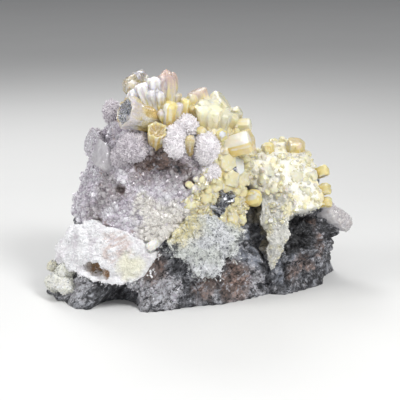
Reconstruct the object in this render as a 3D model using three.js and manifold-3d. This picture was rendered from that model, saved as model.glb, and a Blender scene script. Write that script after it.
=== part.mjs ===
import * as THREE from 'three';
import { mergeVertices } from 'three/addons/utils/BufferGeometryUtils.js';
import Module from 'manifold-3d';

// A mimetite specimen: yellow prisms, quartz druse and pale crusts on a broken block of matrix.
// Millimetres, +Z up. The origin lies on the flat underside; +X is the specimen's right, -Y its front.

const wasm = await Module();
wasm.setup();

// ---------------------------------------------------------------- driving dimensions

const GAP = 0.3;              // clearance between two pieces that touch
const ROOT = 2.5;             // how far a crystal's root is carried into the rock before it is cut off
const FLOOR_MARGIN = 3;       // rock modelled below the underside, then sawn off flat
const TOWER_DETAIL = 7;       // icosphere subdivisions of the tower's surface
const LOBE_DETAIL = 4;        // icosphere subdivisions of the lobe's surface
const BALL_DETAIL = 1;        // icosphere subdivisions of a druse ball
const DRUSE_THICK = 1.0;      // quartz druse coating on the left flank
const CHALK_THICK = 1.5;      // chalky white crust at the lower left
const GRANULAR_THICK = 1.3;   // granular white crust at the centre
const CREAM_THICK = 1.3;      // cream crust on the right lobe
const CORNER_THICK = 1.6;     // glassy quartz on the lobe's right corner
const RIDGE_THICK = 1.3;      // massive mimetite that binds the ridge's crystals
const SHELL_THICK = 1.9;      // glassy plate standing proud of the druse

// The matrix is two boulders of rock grown into one. Each is a blend of broken blocks, and a block is
// its centre, how sharp its arrises are, and its faces: [azimuth, elevation, distance from the centre].
// Azimuth turns from +X towards +Y, elevation rises from the horizontal, both in degrees.

const TOWER = {
  heart: [-5, 2, 14],
  blocks: [
    { centre: [-7, 1, 18], sharp: 1.4, faces: [
      [182, 17, 17.4], [-143, 20, 14.4], [-96, 11, 12.0], [-65, 4, 12.2], [-30, 10, 15.0], [6, 4, 17.6],
      [-20, 84, 20.6], [4, 44, 21.2], [180, 48, 22.4], [-95, 50, 19.0],
      [92, 16, 12.6], [140, 22, 13.8], [45, 12, 15.5]] },
    { centre: [-16, -3, 6], sharp: 1.4, faces: [
      [175, 22, 11.4], [-135, 10, 9.0], [-100, 14, 8.2], [-55, 8, 11.0], [0, 10, 14],
      [-90, 66, 9.6], [180, 60, 9.8], [90, 20, 12], [135, 15, 12]] },
    { centre: [4, 0, 4], sharp: 1.4, faces: [
      [-58, -4, 8.6], [-60, 45, 8.6], [-5, -8, 12.0], [0, 40, 8.8], [90, 0, 14], [0, 88, 4.6],
      [180, 0, 12], [-120, 5, 9.5]] },
    { centre: [4, 12, 11], sharp: 1.2, faces: [
      [90, 8, 9.5], [60, 25, 11.5], [125, 20, 13], [160, 15, 15], [20, 12, 12.0], [90, 70, 12.2],
      [-10, 60, 12.5], [180, 60, 14], [-90, 10, 8]] },
  ],
  hollows: [
    { centre: [-8.0, -12.5, 26.0], radii: [5.0, 5.0, 3.4] },
    { centre: [-16.2, -13.5, 0.5], radii: [4.4, 6.5, 3.8] },
    { centre: [-21.0, -12.5, 8.0], radii: [2.6, 3.0, 1.9] },
  ],
};

const LOBE = {
  heart: [17, 9, 11],
  blocks: [
    { centre: [17, 9, 13], sharp: 1.4, faces: [
      [-90, 78, 12.8], [8, 44, 12.2], [0, 12, 9.6], [-42, -12, 9.6], [-100, 14, 9.8], [-58, 42, 12.0],
      [180, -12, 5.6], [180, 60, 13.6], [90, 10, 9.0], [45, 8, 10.0], [135, 10, 8]] },
    { centre: [24, 8, 12], sharp: 1.8, faces: [
      [0, 5, 7.2], [10, 62, 3.6], [-60, 50, 3.6], [-50, -5, 5.5], [0, -50, 5.0], [70, 0, 5.5], [180, 0, 6]] },
    { centre: [18, 6, 5], sharp: 1.4, faces: [
      [-56, -6, 8.0], [-60, 40, 9.2], [-4, -10, 8.4], [0, 40, 9.0], [90, 10, 10], [40, 5, 10],
      [180, 0, 7], [-120, 5, 9.0], [0, 88, 6.0]] },
  ],
  hollows: [],
};
const BLEND = 1.2;            // how tightly the blocks of one boulder run together, per mm
const HOLLOW_EDGE = 1.6;      // how crisp the lip of a hollow is, per mm

// The surface is found by stepping inwards from FAR, by a share of the height left at each step.
const FAR = 46;
const STEPS = 90;
const STEP_SHARE = 0.75;
const LONGEST_STEP = 5;
const LONGEST_STEP_BACK = 0.5;

// ---------------------------------------------------------------- the rock's surface

function aim(azimuth, elevation) {
  const a = THREE.MathUtils.degToRad(azimuth);
  const e = THREE.MathUtils.degToRad(elevation);
  return new THREE.Vector3(Math.cos(e) * Math.cos(a), Math.cos(e) * Math.sin(a), Math.sin(e));
}

// Smooth maximum: like Math.max, with the corner rounded by 1 / k.
function smoothMax(values, k) {
  const top = Math.max(...values);
  const sum = values.reduce((total, v) => total + Math.exp(k * (v - top)), 0);
  return top + Math.log(sum) / k;
}

for (const boulder of [TOWER, LOBE]) {
  boulder.heart = new THREE.Vector3(...boulder.heart);
  for (const block of boulder.blocks) {
    block.centre = new THREE.Vector3(...block.centre);
    block.planes = block.faces.map(([azimuth, elevation, distance]) => {
      const normal = aim(azimuth, elevation);
      return { normal, offset: distance + normal.dot(block.centre) };
    });
  }
}

// Height of a point above the rock's surface, negative inside.
function heightAboveRock(point, boulder) {
  const blocks = boulder.blocks.map(({ planes, sharp }) =>
    smoothMax(planes.map(({ normal, offset }) => normal.dot(point) - offset), sharp));
  let height = -smoothMax(blocks.map((v) => -v), BLEND);
  for (const { centre, radii } of boulder.hollows) {
    const q = point.clone().sub(new THREE.Vector3(...centre)).divide(new THREE.Vector3(...radii));
    const n = q.length();
    const slope = q.clone().divide(new THREE.Vector3(...radii)).length() + 1e-9;
    height = smoothMax([height, -n * (n - 1) / slope], HOLLOW_EDGE);
  }
  return height;
}

// The outermost point of the rock seen from its heart in one direction, raised by lift.
function surfacePoint(boulder, direction, lift = 0) {
  const point = new THREE.Vector3();
  let reach = FAR;
  for (let step = 0; step < STEPS; step += 1) {
    point.copy(boulder.heart).addScaledVector(direction, reach);
    const height = Math.max(heightAboveRock(point, boulder) - lift, -point.z - FLOOR_MARGIN);
    reach -= THREE.MathUtils.clamp(height * STEP_SHARE, -LONGEST_STEP_BACK, LONGEST_STEP);
  }
  return point.copy(boulder.heart).addScaledVector(direction, reach);
}

function seatPoint(boulder, [azimuth, elevation]) {
  return surfacePoint(boulder, aim(azimuth, elevation));
}

// ---------------------------------------------------------------- solids

const SAME_POINT = 1e-5;      // vertices closer than this are one

function toSolid(geometry) {
  const bare = geometry.clone();
  bare.deleteAttribute('normal');
  bare.deleteAttribute('uv');
  const merged = mergeVertices(bare, SAME_POINT);
  const index = merged.index.array;
  const triVerts = [];
  for (let i = 0; i < index.length; i += 3) {
    const [a, b, c] = [index[i], index[i + 1], index[i + 2]];
    if (a !== b && b !== c && c !== a) triVerts.push(a, b, c);
  }
  const mesh = new wasm.Mesh({
    numProp: 3,
    vertProperties: new Float32Array(merged.attributes.position.array),
    triVerts: new Uint32Array(triVerts),
  });
  return new wasm.Manifold(mesh);
}

function toGeometry(solid) {
  const mesh = solid.getMesh();
  const geometry = new THREE.BufferGeometry();
  geometry.setAttribute('position', new THREE.BufferAttribute(new Float32Array(mesh.vertProperties), 3));
  geometry.setIndex(new THREE.BufferAttribute(new Uint32Array(mesh.triVerts), 1));
  const flat = geometry.toNonIndexed();
  flat.computeVertexNormals();
  return flat;
}

function joined(solids) {
  return solids.reduce((whole, next) => whole.add(next));
}

// A cut can leave chips behind: the piece is its largest part.
function largestPart(solid) {
  const parts = solid.decompose();
  return parts.reduce((best, part) => (part.volume() > best.volume() ? part : best));
}

const TABLE_SPAN = 200;
const TABLE_DEPTH = 40;
const table = new THREE.BoxGeometry(TABLE_SPAN, TABLE_SPAN, TABLE_DEPTH).translate(0, 0, -TABLE_DEPTH / 2);
const belowTable = toSolid(table);

function boulderSolid(boulder, detail, lift) {
  const geometry = new THREE.IcosahedronGeometry(1, detail);
  const position = geometry.attributes.position;
  const direction = new THREE.Vector3();
  for (let i = 0; i < position.count; i += 1) {
    direction.fromBufferAttribute(position, i).normalize();
    const point = surfacePoint(boulder, direction, lift);
    position.setXYZ(i, point.x, point.y, point.z);
  }
  return toSolid(geometry);
}

function rockSolid(lift) {
  const tower = boulderSolid(TOWER, TOWER_DETAIL, lift);
  const lobe = boulderSolid(LOBE, LOBE_DETAIL, lift);
  return tower.add(lobe);
}

const rock = rockSolid(0).subtract(belowTable);
const rockWithGap = rockSolid(GAP);

// ---------------------------------------------------------------- shapes that grow on the rock

// Each of these returns { body, fat }: the piece as grown, and the same piece GAP larger all round,
// which is what a later piece is cut back by.

function alongLean(geometry, root, lean) {
  const axis = new THREE.Vector3(...lean).normalize();
  const turn = new THREE.Quaternion().setFromUnitVectors(new THREE.Vector3(0, 1, 0), axis);
  return geometry.applyQuaternion(turn).translate(root.x, root.y, root.z);
}

const ROOT_TAPER = 0.85;      // a prism's root is this share of its width
const BEVEL = 0.35;           // height of the bevel round a flat tip
const HOPPER_DEPTH = 1.4;     // depth of the hollow in a hopper crystal's end

// How each tip ends, as [share of the radius, height above the seat] from the shoulder inwards.
const TIPS = {
  flat: (out) => [[1, out - BEVEL], [0.8, out]],
  blunt: (out, radius) => [[1, out - radius * 0.7], [0.55, out]],
  barrel: (out) => [[1.1, out * 0.55], [0.7, out]],
  hopper: (out) => [[1, out], [0.75, out], [0.3, out - HOPPER_DEPTH]],
};

function prismSolid({ on, seat, lean, out, width, tip = 'blunt', sides = 6 }, grow) {
  const radius = width / 2 + grow;
  const height = out + grow;
  const profile = [[ROOT_TAPER, -ROOT], ...TIPS[tip](height, radius)];
  const points = profile.map(([share, y]) => new THREE.Vector2(share * radius, y));
  points.unshift(new THREE.Vector2(0, -ROOT));
  points.push(new THREE.Vector2(0, points.at(-1).y));
  const lathe = new THREE.LatheGeometry(points, sides);
  return toSolid(alongLean(lathe, seatPoint(on, seat), lean));
}

function prism(spec) {
  return { body: prismSolid(spec, 0), fat: prismSolid(spec, GAP) };
}

function cluster(specs) {
  const prisms = specs.map(prism);
  return { body: joined(prisms.map((p) => p.body)), fat: joined(prisms.map((p) => p.fat)) };
}

function ballSolid({ on, seat, lift, radii }, grow) {
  const centre = seatPoint(on, seat);
  centre.add(centre.clone().sub(on.heart).setLength(lift));
  const [x, y, z] = radii;
  const geometry = new THREE.IcosahedronGeometry(1, BALL_DETAIL).scale(x + grow, y + grow, z + grow);
  return toSolid(geometry.translate(centre.x, centre.y, centre.z));
}

function balls(specs) {
  return {
    body: joined(specs.map((spec) => ballSolid(spec, 0))),
    fat: joined(specs.map((spec) => ballSolid(spec, GAP))),
  };
}

function cubeSolid({ on, seat, size, turn }, grow) {
  const centre = seatPoint(on, seat);
  const side = size + 2 * grow;
  const geometry = new THREE.BoxGeometry(side, side, side);
  geometry.applyQuaternion(new THREE.Quaternion().setFromEuler(new THREE.Euler(...turn)));
  return toSolid(geometry.translate(centre.x, centre.y, centre.z));
}

function cubes(specs) {
  return {
    body: joined(specs.map((spec) => cubeSolid(spec, 0))),
    fat: joined(specs.map((spec) => cubeSolid(spec, GAP))),
  };
}

// A crust spreads from a centre on the rock. Its reach in degrees, seen from the boulder's heart, is
// listed at even bearings, from straight up and on clockwise. It thins towards its rim.
const CRUST_RINGS = 4;
const CRUST_SPOKES = 20;
const RIM_THICK = 0.75;
const RIM_CLEARANCE = 1.5;    // degrees by which a crust's rim is widened to cut its neighbours clear

function crustSolid({ on, centre, reaches, thick }, grow) {
  const axis = aim(...centre);
  const up = new THREE.Vector3(0, 0, 1).addScaledVector(axis, -axis.z).normalize();
  const right = up.clone().cross(axis);
  const outline = new THREE.CatmullRomCurve3(reaches.map((reach, i) => {
    const bearing = (i / reaches.length) * 2 * Math.PI;
    return new THREE.Vector3(Math.sin(bearing) * reach, Math.cos(bearing) * reach, 0);
  }), true);
  const widen = grow > 0 ? RIM_CLEARANCE : 0;
  const vertices = [on.heart.clone()];
  vertices.push(surfacePoint(on, axis, thick + grow));
  for (let ring = 1; ring <= CRUST_RINGS; ring += 1) {
    const share = ring / CRUST_RINGS;
    const lift = THREE.MathUtils.lerp(thick, RIM_THICK, share ** 3) + grow;
    for (let spoke = 0; spoke < CRUST_SPOKES; spoke += 1) {
      const rim = outline.getPoint(spoke / CRUST_SPOKES);
      const angle = THREE.MathUtils.degToRad((rim.length() + widen) * share);
      rim.normalize();
      const side = right.clone().multiplyScalar(rim.x).addScaledVector(up, rim.y);
      const direction = axis.clone().multiplyScalar(Math.cos(angle)).addScaledVector(side, Math.sin(angle));
      vertices.push(surfacePoint(on, direction, lift));
    }
  }
  const at = (ring, spoke) => 2 + (ring - 1) * CRUST_SPOKES + (spoke % CRUST_SPOKES);
  const faces = [];
  for (let spoke = 0; spoke < CRUST_SPOKES; spoke += 1) {
    faces.push(1, at(1, spoke + 1), at(1, spoke));
    for (let ring = 1; ring < CRUST_RINGS; ring += 1) {
      faces.push(at(ring, spoke), at(ring, spoke + 1), at(ring + 1, spoke));
      faces.push(at(ring, spoke + 1), at(ring + 1, spoke + 1), at(ring + 1, spoke));
    }
    faces.push(0, at(CRUST_RINGS, spoke), at(CRUST_RINGS, spoke + 1));
  }
  const geometry = new THREE.BufferGeometry().setFromPoints(vertices);
  geometry.setIndex(faces);
  return toSolid(geometry);
}

function crust(spec) {
  return { body: crustSolid(spec, 0), fat: crustSolid(spec, GAP) };
}

// ---------------------------------------------------------------- finishes

function finish(color, roughness, metalness = 0) {
  return new THREE.MeshStandardMaterial({ color, roughness, metalness });
}

const MATRIX = finish(0x4a4340, 0.9);
const MIMETITE = finish(0xe0c25a, 0.3);
const MIMETITE_OLIVE = finish(0xa89a48, 0.3);
const MIMETITE_PALE = finish(0xe6dfb4, 0.35);
const GALENA = finish(0x55585c, 0.35, 0.9);
const QUARTZ = finish(0xc9bfc9, 0.25);
const CHALK = finish(0xeeeef4, 0.8);
const GRANULAR = finish(0xd5d8cc, 0.7);
const CREAM = finish(0xe8e4cc, 0.7);

// ---------------------------------------------------------------- the pieces, in the order they are fitted

const pieces = [];

function add(name, material, shape) {
  pieces.push({ name, material, shape });
}

// Massive crusts, which the crystals stand on.
add('mimetite_ridge_crust', MIMETITE, crust({ on: TOWER, centre: [-38, 55], thick: RIDGE_THICK,
  reaches: [23, 22, 22, 24, 28, 32, 31, 29, 27, 29, 24, 31, 9, 10, 13, 22] }));
add('cream_crust', CREAM, crust({ on: LOBE, centre: [-85, 55], thick: CREAM_THICK,
  reaches: [73, 71, 34, 27, 28, 37, 31, 28, 31, 55, 53, 32, 32, 42, 52, 60] }));

// Mimetite: six-sided prisms. Those that grew through each other are one solid.
add('mimetite_big_prism', MIMETITE,
  prism({ on: TOWER, seat: [-33, 54], lean: [1, -0.42, 0.36], out: 6.2, width: 4.6, tip: 'flat' }));
add('mimetite_flat_top_prism', MIMETITE,
  prism({ on: TOWER, seat: [-8, 59], lean: [1, -0.3, 0.14], out: 3.4, width: 2.9, tip: 'flat' }));
add('mimetite_chipped_prism', MIMETITE_PALE,
  prism({ on: TOWER, seat: [-20, 44], lean: [0.6, -0.8, 0.2], out: 2.6, width: 4.0, tip: 'hopper' }));
add('mimetite_small_prism', MIMETITE,
  prism({ on: TOWER, seat: [-98, 66], lean: [0.12, -0.4, 1], out: 4.6, width: 2.7, tip: 'flat' }));
add('mimetite_hollow_prism', MIMETITE_PALE,
  prism({ on: TOWER, seat: [-119, 67], lean: [-0.86, -0.3, 0.3], out: 6.4, width: 5.6, tip: 'hopper' }));
add('mimetite_barrel', MIMETITE, prism({
  on: TOWER, seat: [-107, 61], lean: [-0.05, -0.8, 0.32], out: 3.0, width: 3.3, tip: 'barrel', sides: 8,
}));
add('mimetite_spray', MIMETITE, cluster([
  { on: TOWER, seat: [-104, 72], lean: [0.03, -0.12, 1], out: 8.2, width: 4.1 },
  { on: TOWER, seat: [-111, 71], lean: [-0.1, -0.16, 1], out: 6.8, width: 2.8 },
  { on: TOWER, seat: [-119, 69], lean: [-0.34, -0.2, 1], out: 6.2, width: 2.3 },
  { on: TOWER, seat: [-126, 68], lean: [-0.62, -0.2, 1], out: 5.4, width: 2.3 },
  { on: TOWER, seat: [-109, 70], lean: [-0.02, -0.35, 1], out: 5.2, width: 1.9 },
  { on: TOWER, seat: [-93, 73], lean: [0.32, -0.15, 1], out: 3.2, width: 2.2 },
]));
add('mimetite_twin_knobs', MIMETITE_PALE, cluster([
  { on: TOWER, seat: [168, 74], lean: [-0.75, -0.1, 1], out: 4.4, width: 3.0, tip: 'barrel' },
  { on: TOWER, seat: [150, 75], lean: [-0.42, -0.1, 1], out: 5.0, width: 3.0, tip: 'barrel' },
  { on: TOWER, seat: [178, 73], lean: [-0.3, -0.5, 1], out: 3.4, width: 2.4, tip: 'barrel' },
]));
add('mimetite_olive_prism', MIMETITE_OLIVE,
  prism({ on: TOWER, seat: [-77, 58], lean: [0.02, -0.9, 0.3], out: 3.6, width: 2.0 }));
add('mimetite_clear_knob', MIMETITE,
  prism({ on: TOWER, seat: [-12, 20], lean: [0.95, -0.4, 0.1], out: 3.2, width: 2.9, tip: 'barrel' }));
add('mimetite_crest_bits', MIMETITE, cluster([
  { on: TOWER, seat: [-71, 75], lean: [-0.05, -0.25, 1], out: 2.0, width: 2.4 },
  { on: TOWER, seat: [-55, 76], lean: [0.1, -0.15, 1], out: 2.4, width: 2.3 },
]));
add('mimetite_ridge_crest', MIMETITE, cluster([
  { on: TOWER, seat: [-32, 75], lean: [-0.4, -0.05, 1], out: 3.3, width: 3.4, tip: 'flat' },
  { on: TOWER, seat: [-28, 70], lean: [0.75, -0.1, 0.62], out: 2.7, width: 4.7, tip: 'flat' },
  { on: TOWER, seat: [-44, 69], lean: [0.25, -0.5, 1], out: 2.8, width: 4.2 },
  { on: TOWER, seat: [-30, 73], lean: [0.05, -0.1, 1], out: 2.7, width: 3.6 },
]));
add('mimetite_ridge_front', MIMETITE, cluster([
  { on: TOWER, seat: [-36, 62], lean: [0.5, -0.6, 0.8], out: 2.8, width: 3.8 },
  { on: TOWER, seat: [-27, 59], lean: [0.8, -0.5, 0.5], out: 2.4, width: 3.8 },
]));
add('mimetite_ridge_spur', MIMETITE,
  prism({ on: TOWER, seat: [-12, 63], lean: [0.8, -0.1, 0.6], out: 1.9, width: 2.0 }));
add('mimetite_ridge_face', MIMETITE,
  prism({ on: TOWER, seat: [-48, 58], lean: [0.3, -0.9, 0.4], out: 2.0, width: 3.4 }));
add('mimetite_ridge_shoulder', MIMETITE,
  prism({ on: TOWER, seat: [-37, 48], lean: [0.5, -0.85, 0.2], out: 1.8, width: 3.6 }));
add('mimetite_ridge_knee', MIMETITE,
  prism({ on: TOWER, seat: [-34, 39], lean: [0.4, -0.9, 0.1], out: 1.8, width: 3.2 }));
add('mimetite_ridge_heel', MIMETITE,
  prism({ on: TOWER, seat: [-21, 36], lean: [0.8, -0.6, 0.1], out: 1.8, width: 3.2 }));
add('mimetite_ridge_toe', MIMETITE,
  prism({ on: TOWER, seat: [-50, 38], lean: [0.2, -1, 0.1], out: 1.2, width: 2.8 }));

// Galena: lead-grey cubes half sunk in the crust.
add('galena_upper', GALENA, cubes([
  { on: TOWER, seat: [-44, 29], size: 3.0, turn: [0.3, 0.5, 0.6] },
  { on: TOWER, seat: [-39, 26], size: 2.2, turn: [0.9, 0.2, 0.2] },
]));
add('galena_lower', GALENA, cubes([
  { on: TOWER, seat: [-49, 20], size: 2.6, turn: [0.7, 0.3, 1.1] },
]));

// Small yellow nodules round the galena.
const NODULES = [
  { seat: [-60, 31], lean: [0, -1, 0.2], out: 1.4, width: 2.4 },
  { seat: [-75, 27], lean: [0, -1, 0.2], out: 1.2, width: 2.2 },
  { seat: [-33, 23], lean: [0.6, -0.8, 0.2], out: 1.5, width: 2.3 },
  { seat: [-20, 27], lean: [0.8, -0.6, 0.2], out: 1.5, width: 2.3 },
  { seat: [-37, 11], lean: [0.6, -0.8, 0.2], out: 1.5, width: 2.6 },
  { seat: [-27, 7], lean: [0.7, -0.7, 0.2], out: 1.4, width: 2.2 },
  { seat: [-47, 11], lean: [0.4, -0.9, 0.2], out: 1.5, width: 2.3 },
];
NODULES.forEach((spec, i) => {
  add(`mimetite_nodule_${i + 1}`, MIMETITE, prism({ on: TOWER, tip: 'barrel', ...spec }));
});

// Quartz druse balls and knobs.
add('quartz_ball_left', QUARTZ, balls([
  { on: TOWER, seat: [-126, 52], lift: 1.2, radii: [3.1, 3.0, 3.0] },
]));
add('quartz_ball_middle', QUARTZ, balls([
  { on: TOWER, seat: [-72, 65], lift: 1.0, radii: [2.7, 2.6, 3.2] },
  { on: TOWER, seat: [-83, 57], lift: 1.4, radii: [3.1, 3.0, 3.6] },
]));
add('quartz_ball_right', QUARTZ, balls([
  { on: TOWER, seat: [-59, 53], lift: 1.6, radii: [2.8, 2.8, 3.7] },
]));
add('quartz_knob_back_upper', QUARTZ, balls([
  { on: TOWER, seat: [-173, 61], lift: 0.6, radii: [2.0, 2.2, 2.6] },
]));
add('quartz_knob_back_lower', QUARTZ, balls([
  { on: TOWER, seat: [-173, 48], lift: 1.0, radii: [1.8, 2.0, 2.2] },
]));

// Stout pale yellow prisms standing on the lobe.
const LOBE_PRISMS = [
  { seat: [-170, 66], lean: [-0.3, -0.2, 1], out: 2.8, width: 2.3 },
  { seat: [180, 79], lean: [-0.1, -0.2, 1], out: 2.6, width: 2.4 },
  { seat: [20, 80], lean: [0.1, -0.2, 1], out: 3.0, width: 3.6 },
  { seat: [-26, 73], lean: [0.5, -0.3, 0.9], out: 2.4, width: 2.6 },
  { seat: [-31, 57], lean: [1, -0.25, 0.45], out: 2.8, width: 2.0 },
  { seat: [-42, 43], lean: [0.9, -0.5, 0.3], out: 2.2, width: 2.2 },
  { seat: [-42, 32], lean: [0.9, -0.5, 0.3], out: 1.9, width: 1.9 },
  { seat: [-104, 79], lean: [0, -0.5, 1], out: 2.4, width: 2.6 },
  { seat: [-118, 62], lean: [-0.3, -0.7, 0.7], out: 2.4, width: 2.8 },
  { seat: [-72, 60], lean: [0.2, -0.9, 0.6], out: 2.4, width: 2.8 },
  { seat: [-104, 52], lean: [-0.1, -1, 0.4], out: 2.2, width: 2.6 },
  { seat: [-64, 46], lean: [0.4, -0.9, 0.4], out: 2.2, width: 2.4 },
  { seat: [-44, 58], lean: [0.6, -0.6, 0.7], out: 2.3, width: 2.4 },
  { seat: [-128, 53], lean: [0.3, -0.9, 0.5], out: 3.4, width: 2.0 },
  { seat: [-86, 49], lean: [0, -1, 0.3], out: 2.0, width: 2.4 },
  { seat: [-153, 71], lean: [-0.4, -0.5, 0.9], out: 2.6, width: 2.2 },
];
LOBE_PRISMS.forEach((spec, i) => {
  const number = String(i + 1).padStart(2, '0');
  add(`mimetite_lobe_${number}`, MIMETITE_PALE, prism({ on: LOBE, tip: 'barrel', ...spec }));
});

// Cream nodules and one yellow knob at the left foot.
add('mimetite_foot_knob', MIMETITE_PALE, balls([
  { on: TOWER, seat: [-171, -19], lift: 0.5, radii: [1.0, 1.0, 1.0] },
]));
add('cream_nodules', CREAM, balls([
  { on: TOWER, seat: [-159, -23], lift: 0.2, radii: [1.9, 1.8, 1.8] },
  { on: TOWER, seat: [-164, -24], lift: 0.2, radii: [1.6, 1.6, 1.5] },
  { on: TOWER, seat: [-154, -24], lift: 0.2, radii: [1.6, 1.6, 1.5] },
  { on: TOWER, seat: [-158, -19], lift: 0.1, radii: [1.6, 1.5, 1.5] },
]));

// Thinner crusts, fitted last round everything that stands on the rock.
add('shell_plate', QUARTZ, crust({ on: TOWER, centre: [-158, 44], thick: SHELL_THICK,
  reaches: [5, 6, 9, 12, 12, 8, 6, 6, 9, 12, 12, 8] }));
add('white_crust', CHALK, crust({ on: TOWER, centre: [-137, -4], thick: CHALK_THICK,
  reaches: [9, 11, 13, 17, 25, 32, 30, 21, 9, 7, 15, 28, 31, 19, 16, 12] }));
add('granular_crust', GRANULAR, crust({ on: TOWER, centre: [-62, -4], thick: GRANULAR_THICK,
  reaches: [21, 22, 23, 27, 34, 31, 25, 26, 28, 26, 25, 26, 29, 28, 28, 25] }));
add('quartz_druse', QUARTZ, crust({ on: TOWER, centre: [-128, 25], thick: DRUSE_THICK,
  reaches: [32, 34, 44, 56, 46, 42, 36, 26, 20, 19, 25, 43, 60, 59, 50, 36] }));
add('quartz_corner', QUARTZ, crust({ on: LOBE, centre: [-10, 12], thick: CORNER_THICK,
  reaches: [14, 14, 16, 18, 14, 10, 8, 8, 10, 14, 18, 16] }));

// ---------------------------------------------------------------- assembly

const specimen = new THREE.Group();

function place(name, material, solid) {
  const mesh = new THREE.Mesh(toGeometry(solid), material);
  mesh.name = name;
  specimen.add(mesh);
}

place('matrix_rock', MATRIX, rock);
let taken = rockWithGap.add(belowTable);
for (const { name, material, shape } of pieces) {
  const fitted = shape.body.subtract(taken);
  place(name, material, largestPart(fitted));
  taken = taken.add(shape.fat);
}

export default specimen;
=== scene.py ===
from itertools import product

import bpy
import numpy as np
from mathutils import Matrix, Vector


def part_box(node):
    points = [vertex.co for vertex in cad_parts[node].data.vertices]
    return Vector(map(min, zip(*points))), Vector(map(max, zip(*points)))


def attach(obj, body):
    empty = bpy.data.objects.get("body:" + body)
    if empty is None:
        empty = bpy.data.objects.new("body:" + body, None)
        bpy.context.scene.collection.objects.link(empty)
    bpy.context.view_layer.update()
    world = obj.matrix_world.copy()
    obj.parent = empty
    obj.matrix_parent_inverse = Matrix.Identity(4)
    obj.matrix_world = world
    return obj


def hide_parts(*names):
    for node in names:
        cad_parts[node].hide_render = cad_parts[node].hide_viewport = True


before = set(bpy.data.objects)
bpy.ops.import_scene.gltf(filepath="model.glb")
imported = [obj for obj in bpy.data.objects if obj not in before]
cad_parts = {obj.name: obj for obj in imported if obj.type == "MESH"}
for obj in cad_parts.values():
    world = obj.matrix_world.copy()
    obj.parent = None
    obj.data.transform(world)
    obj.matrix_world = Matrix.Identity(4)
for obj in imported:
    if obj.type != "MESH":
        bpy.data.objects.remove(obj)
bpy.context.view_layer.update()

# ---------------------------------------------------------------- matrix rock
# The matrix is broken gossan, an iron-stained ore rock: two lumps grown into one and sawn flat underneath.
# Each lump is a blend of blocks bounded by flat breaks, seen from a heart inside it. The blocks are the
# frame's own, in millimetres, and the frame's rock gives the millimetre.

ROCK_LENGTH = 61.217
rock_low, rock_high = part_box("matrix_rock")
MM = (rock_high.x - rock_low.x) / ROCK_LENGTH

# A block is its centre, how sharp its arrises are, and its faces: azimuth, elevation, distance.
TOWER = {
    "heart": (-5, 2, 14),
    "blocks": [
        ((-7, 1, 18), 1.4, [
            (182, 17, 17.4), (-143, 20, 14.4), (-96, 11, 12.0), (-65, 4, 12.2), (-30, 10, 15.0), (6, 4, 17.6),
            (-20, 84, 20.6), (4, 44, 21.2), (180, 48, 22.4), (-95, 50, 19.0),
            (92, 16, 12.6), (140, 22, 13.8), (45, 12, 15.5)]),
        ((-16, -3, 6), 1.4, [
            (175, 22, 11.4), (-135, 10, 9.0), (-100, 14, 8.2), (-55, 8, 11.0), (0, 10, 14),
            (-90, 66, 9.6), (180, 60, 9.8), (90, 20, 12), (135, 15, 12)]),
        ((4, 0, 4), 1.4, [
            (-58, -4, 8.6), (-60, 45, 8.6), (-5, -8, 12.0), (0, 40, 8.8), (90, 0, 14), (0, 88, 4.6),
            (180, 0, 12), (-120, 5, 9.5)]),
        ((4, 12, 11), 1.2, [
            (90, 8, 9.5), (60, 25, 11.5), (125, 20, 13), (160, 15, 15), (20, 12, 12.0), (90, 70, 12.2),
            (-10, 60, 12.5), (180, 60, 14), (-90, 10, 8)]),
    ],
    "hollows": [
        ((-8.0, -12.5, 26.0), (5.0, 5.0, 3.4)),
        ((-16.2, -13.5, 0.5), (4.4, 6.5, 3.8)),
        ((-21.0, -12.5, 8.0), (2.6, 3.0, 1.9)),
    ],
}
LOBE = {
    "heart": (17, 9, 11),
    "blocks": [
        ((17, 9, 13), 1.4, [
            (-90, 78, 12.8), (8, 44, 12.2), (0, 12, 9.6), (-42, -12, 9.6), (-100, 14, 9.8), (-58, 42, 12.0),
            (180, -12, 5.6), (180, 60, 13.6), (90, 10, 9.0), (45, 8, 10.0), (135, 10, 8)]),
        ((24, 8, 12), 1.8, [
            (0, 5, 7.2), (10, 62, 3.6), (-60, 50, 3.6), (-50, -5, 5.5), (0, -50, 5.0), (70, 0, 5.5),
            (180, 0, 6)]),
        ((18, 6, 5), 1.4, [
            (-56, -6, 8.0), (-60, 40, 9.2), (-4, -10, 8.4), (0, 40, 9.0), (90, 10, 10), (40, 5, 10),
            (180, 0, 7), (-120, 5, 9.0), (0, 88, 6.0)]),
    ],
    "hollows": [],
}
BLEND = 1.2            # how tightly the blocks of one lump run together, per mm
HOLLOW_EDGE = 1.6      # how crisp the lip of a hollow is, per mm
FAR = 40.0             # the surface is found by stepping inwards from here
STEPS = 60
STEP_SHARE = 0.75
LONGEST_STEP = 5.0
LONGEST_STEP_BACK = 0.5
SLOPE_STEP = 0.05      # how far apart two heights are read to find a slope
TINY = 1e-9            # keeps a division or a direction from failing at a middle


def aim(azimuth, elevation):
    """Unit vector: azimuth turns from +X towards +Y and elevation rises from the horizontal, in degrees."""
    a, e = np.radians(azimuth), np.radians(elevation)
    return np.stack([np.cos(e) * np.cos(a), np.cos(e) * np.sin(a), np.sin(e) + 0 * a], axis=-1)


def unit(v):
    """Vectors divided by their own lengths."""
    return v / np.linalg.norm(v, axis=-1, keepdims=True)


def smooth_max(values, k):
    """Largest of the values along the first axis, with the corner rounded by 1 / k."""
    top = values.max(0)
    return top + np.log(np.exp(k * (values - top)).sum(0)) / k


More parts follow.
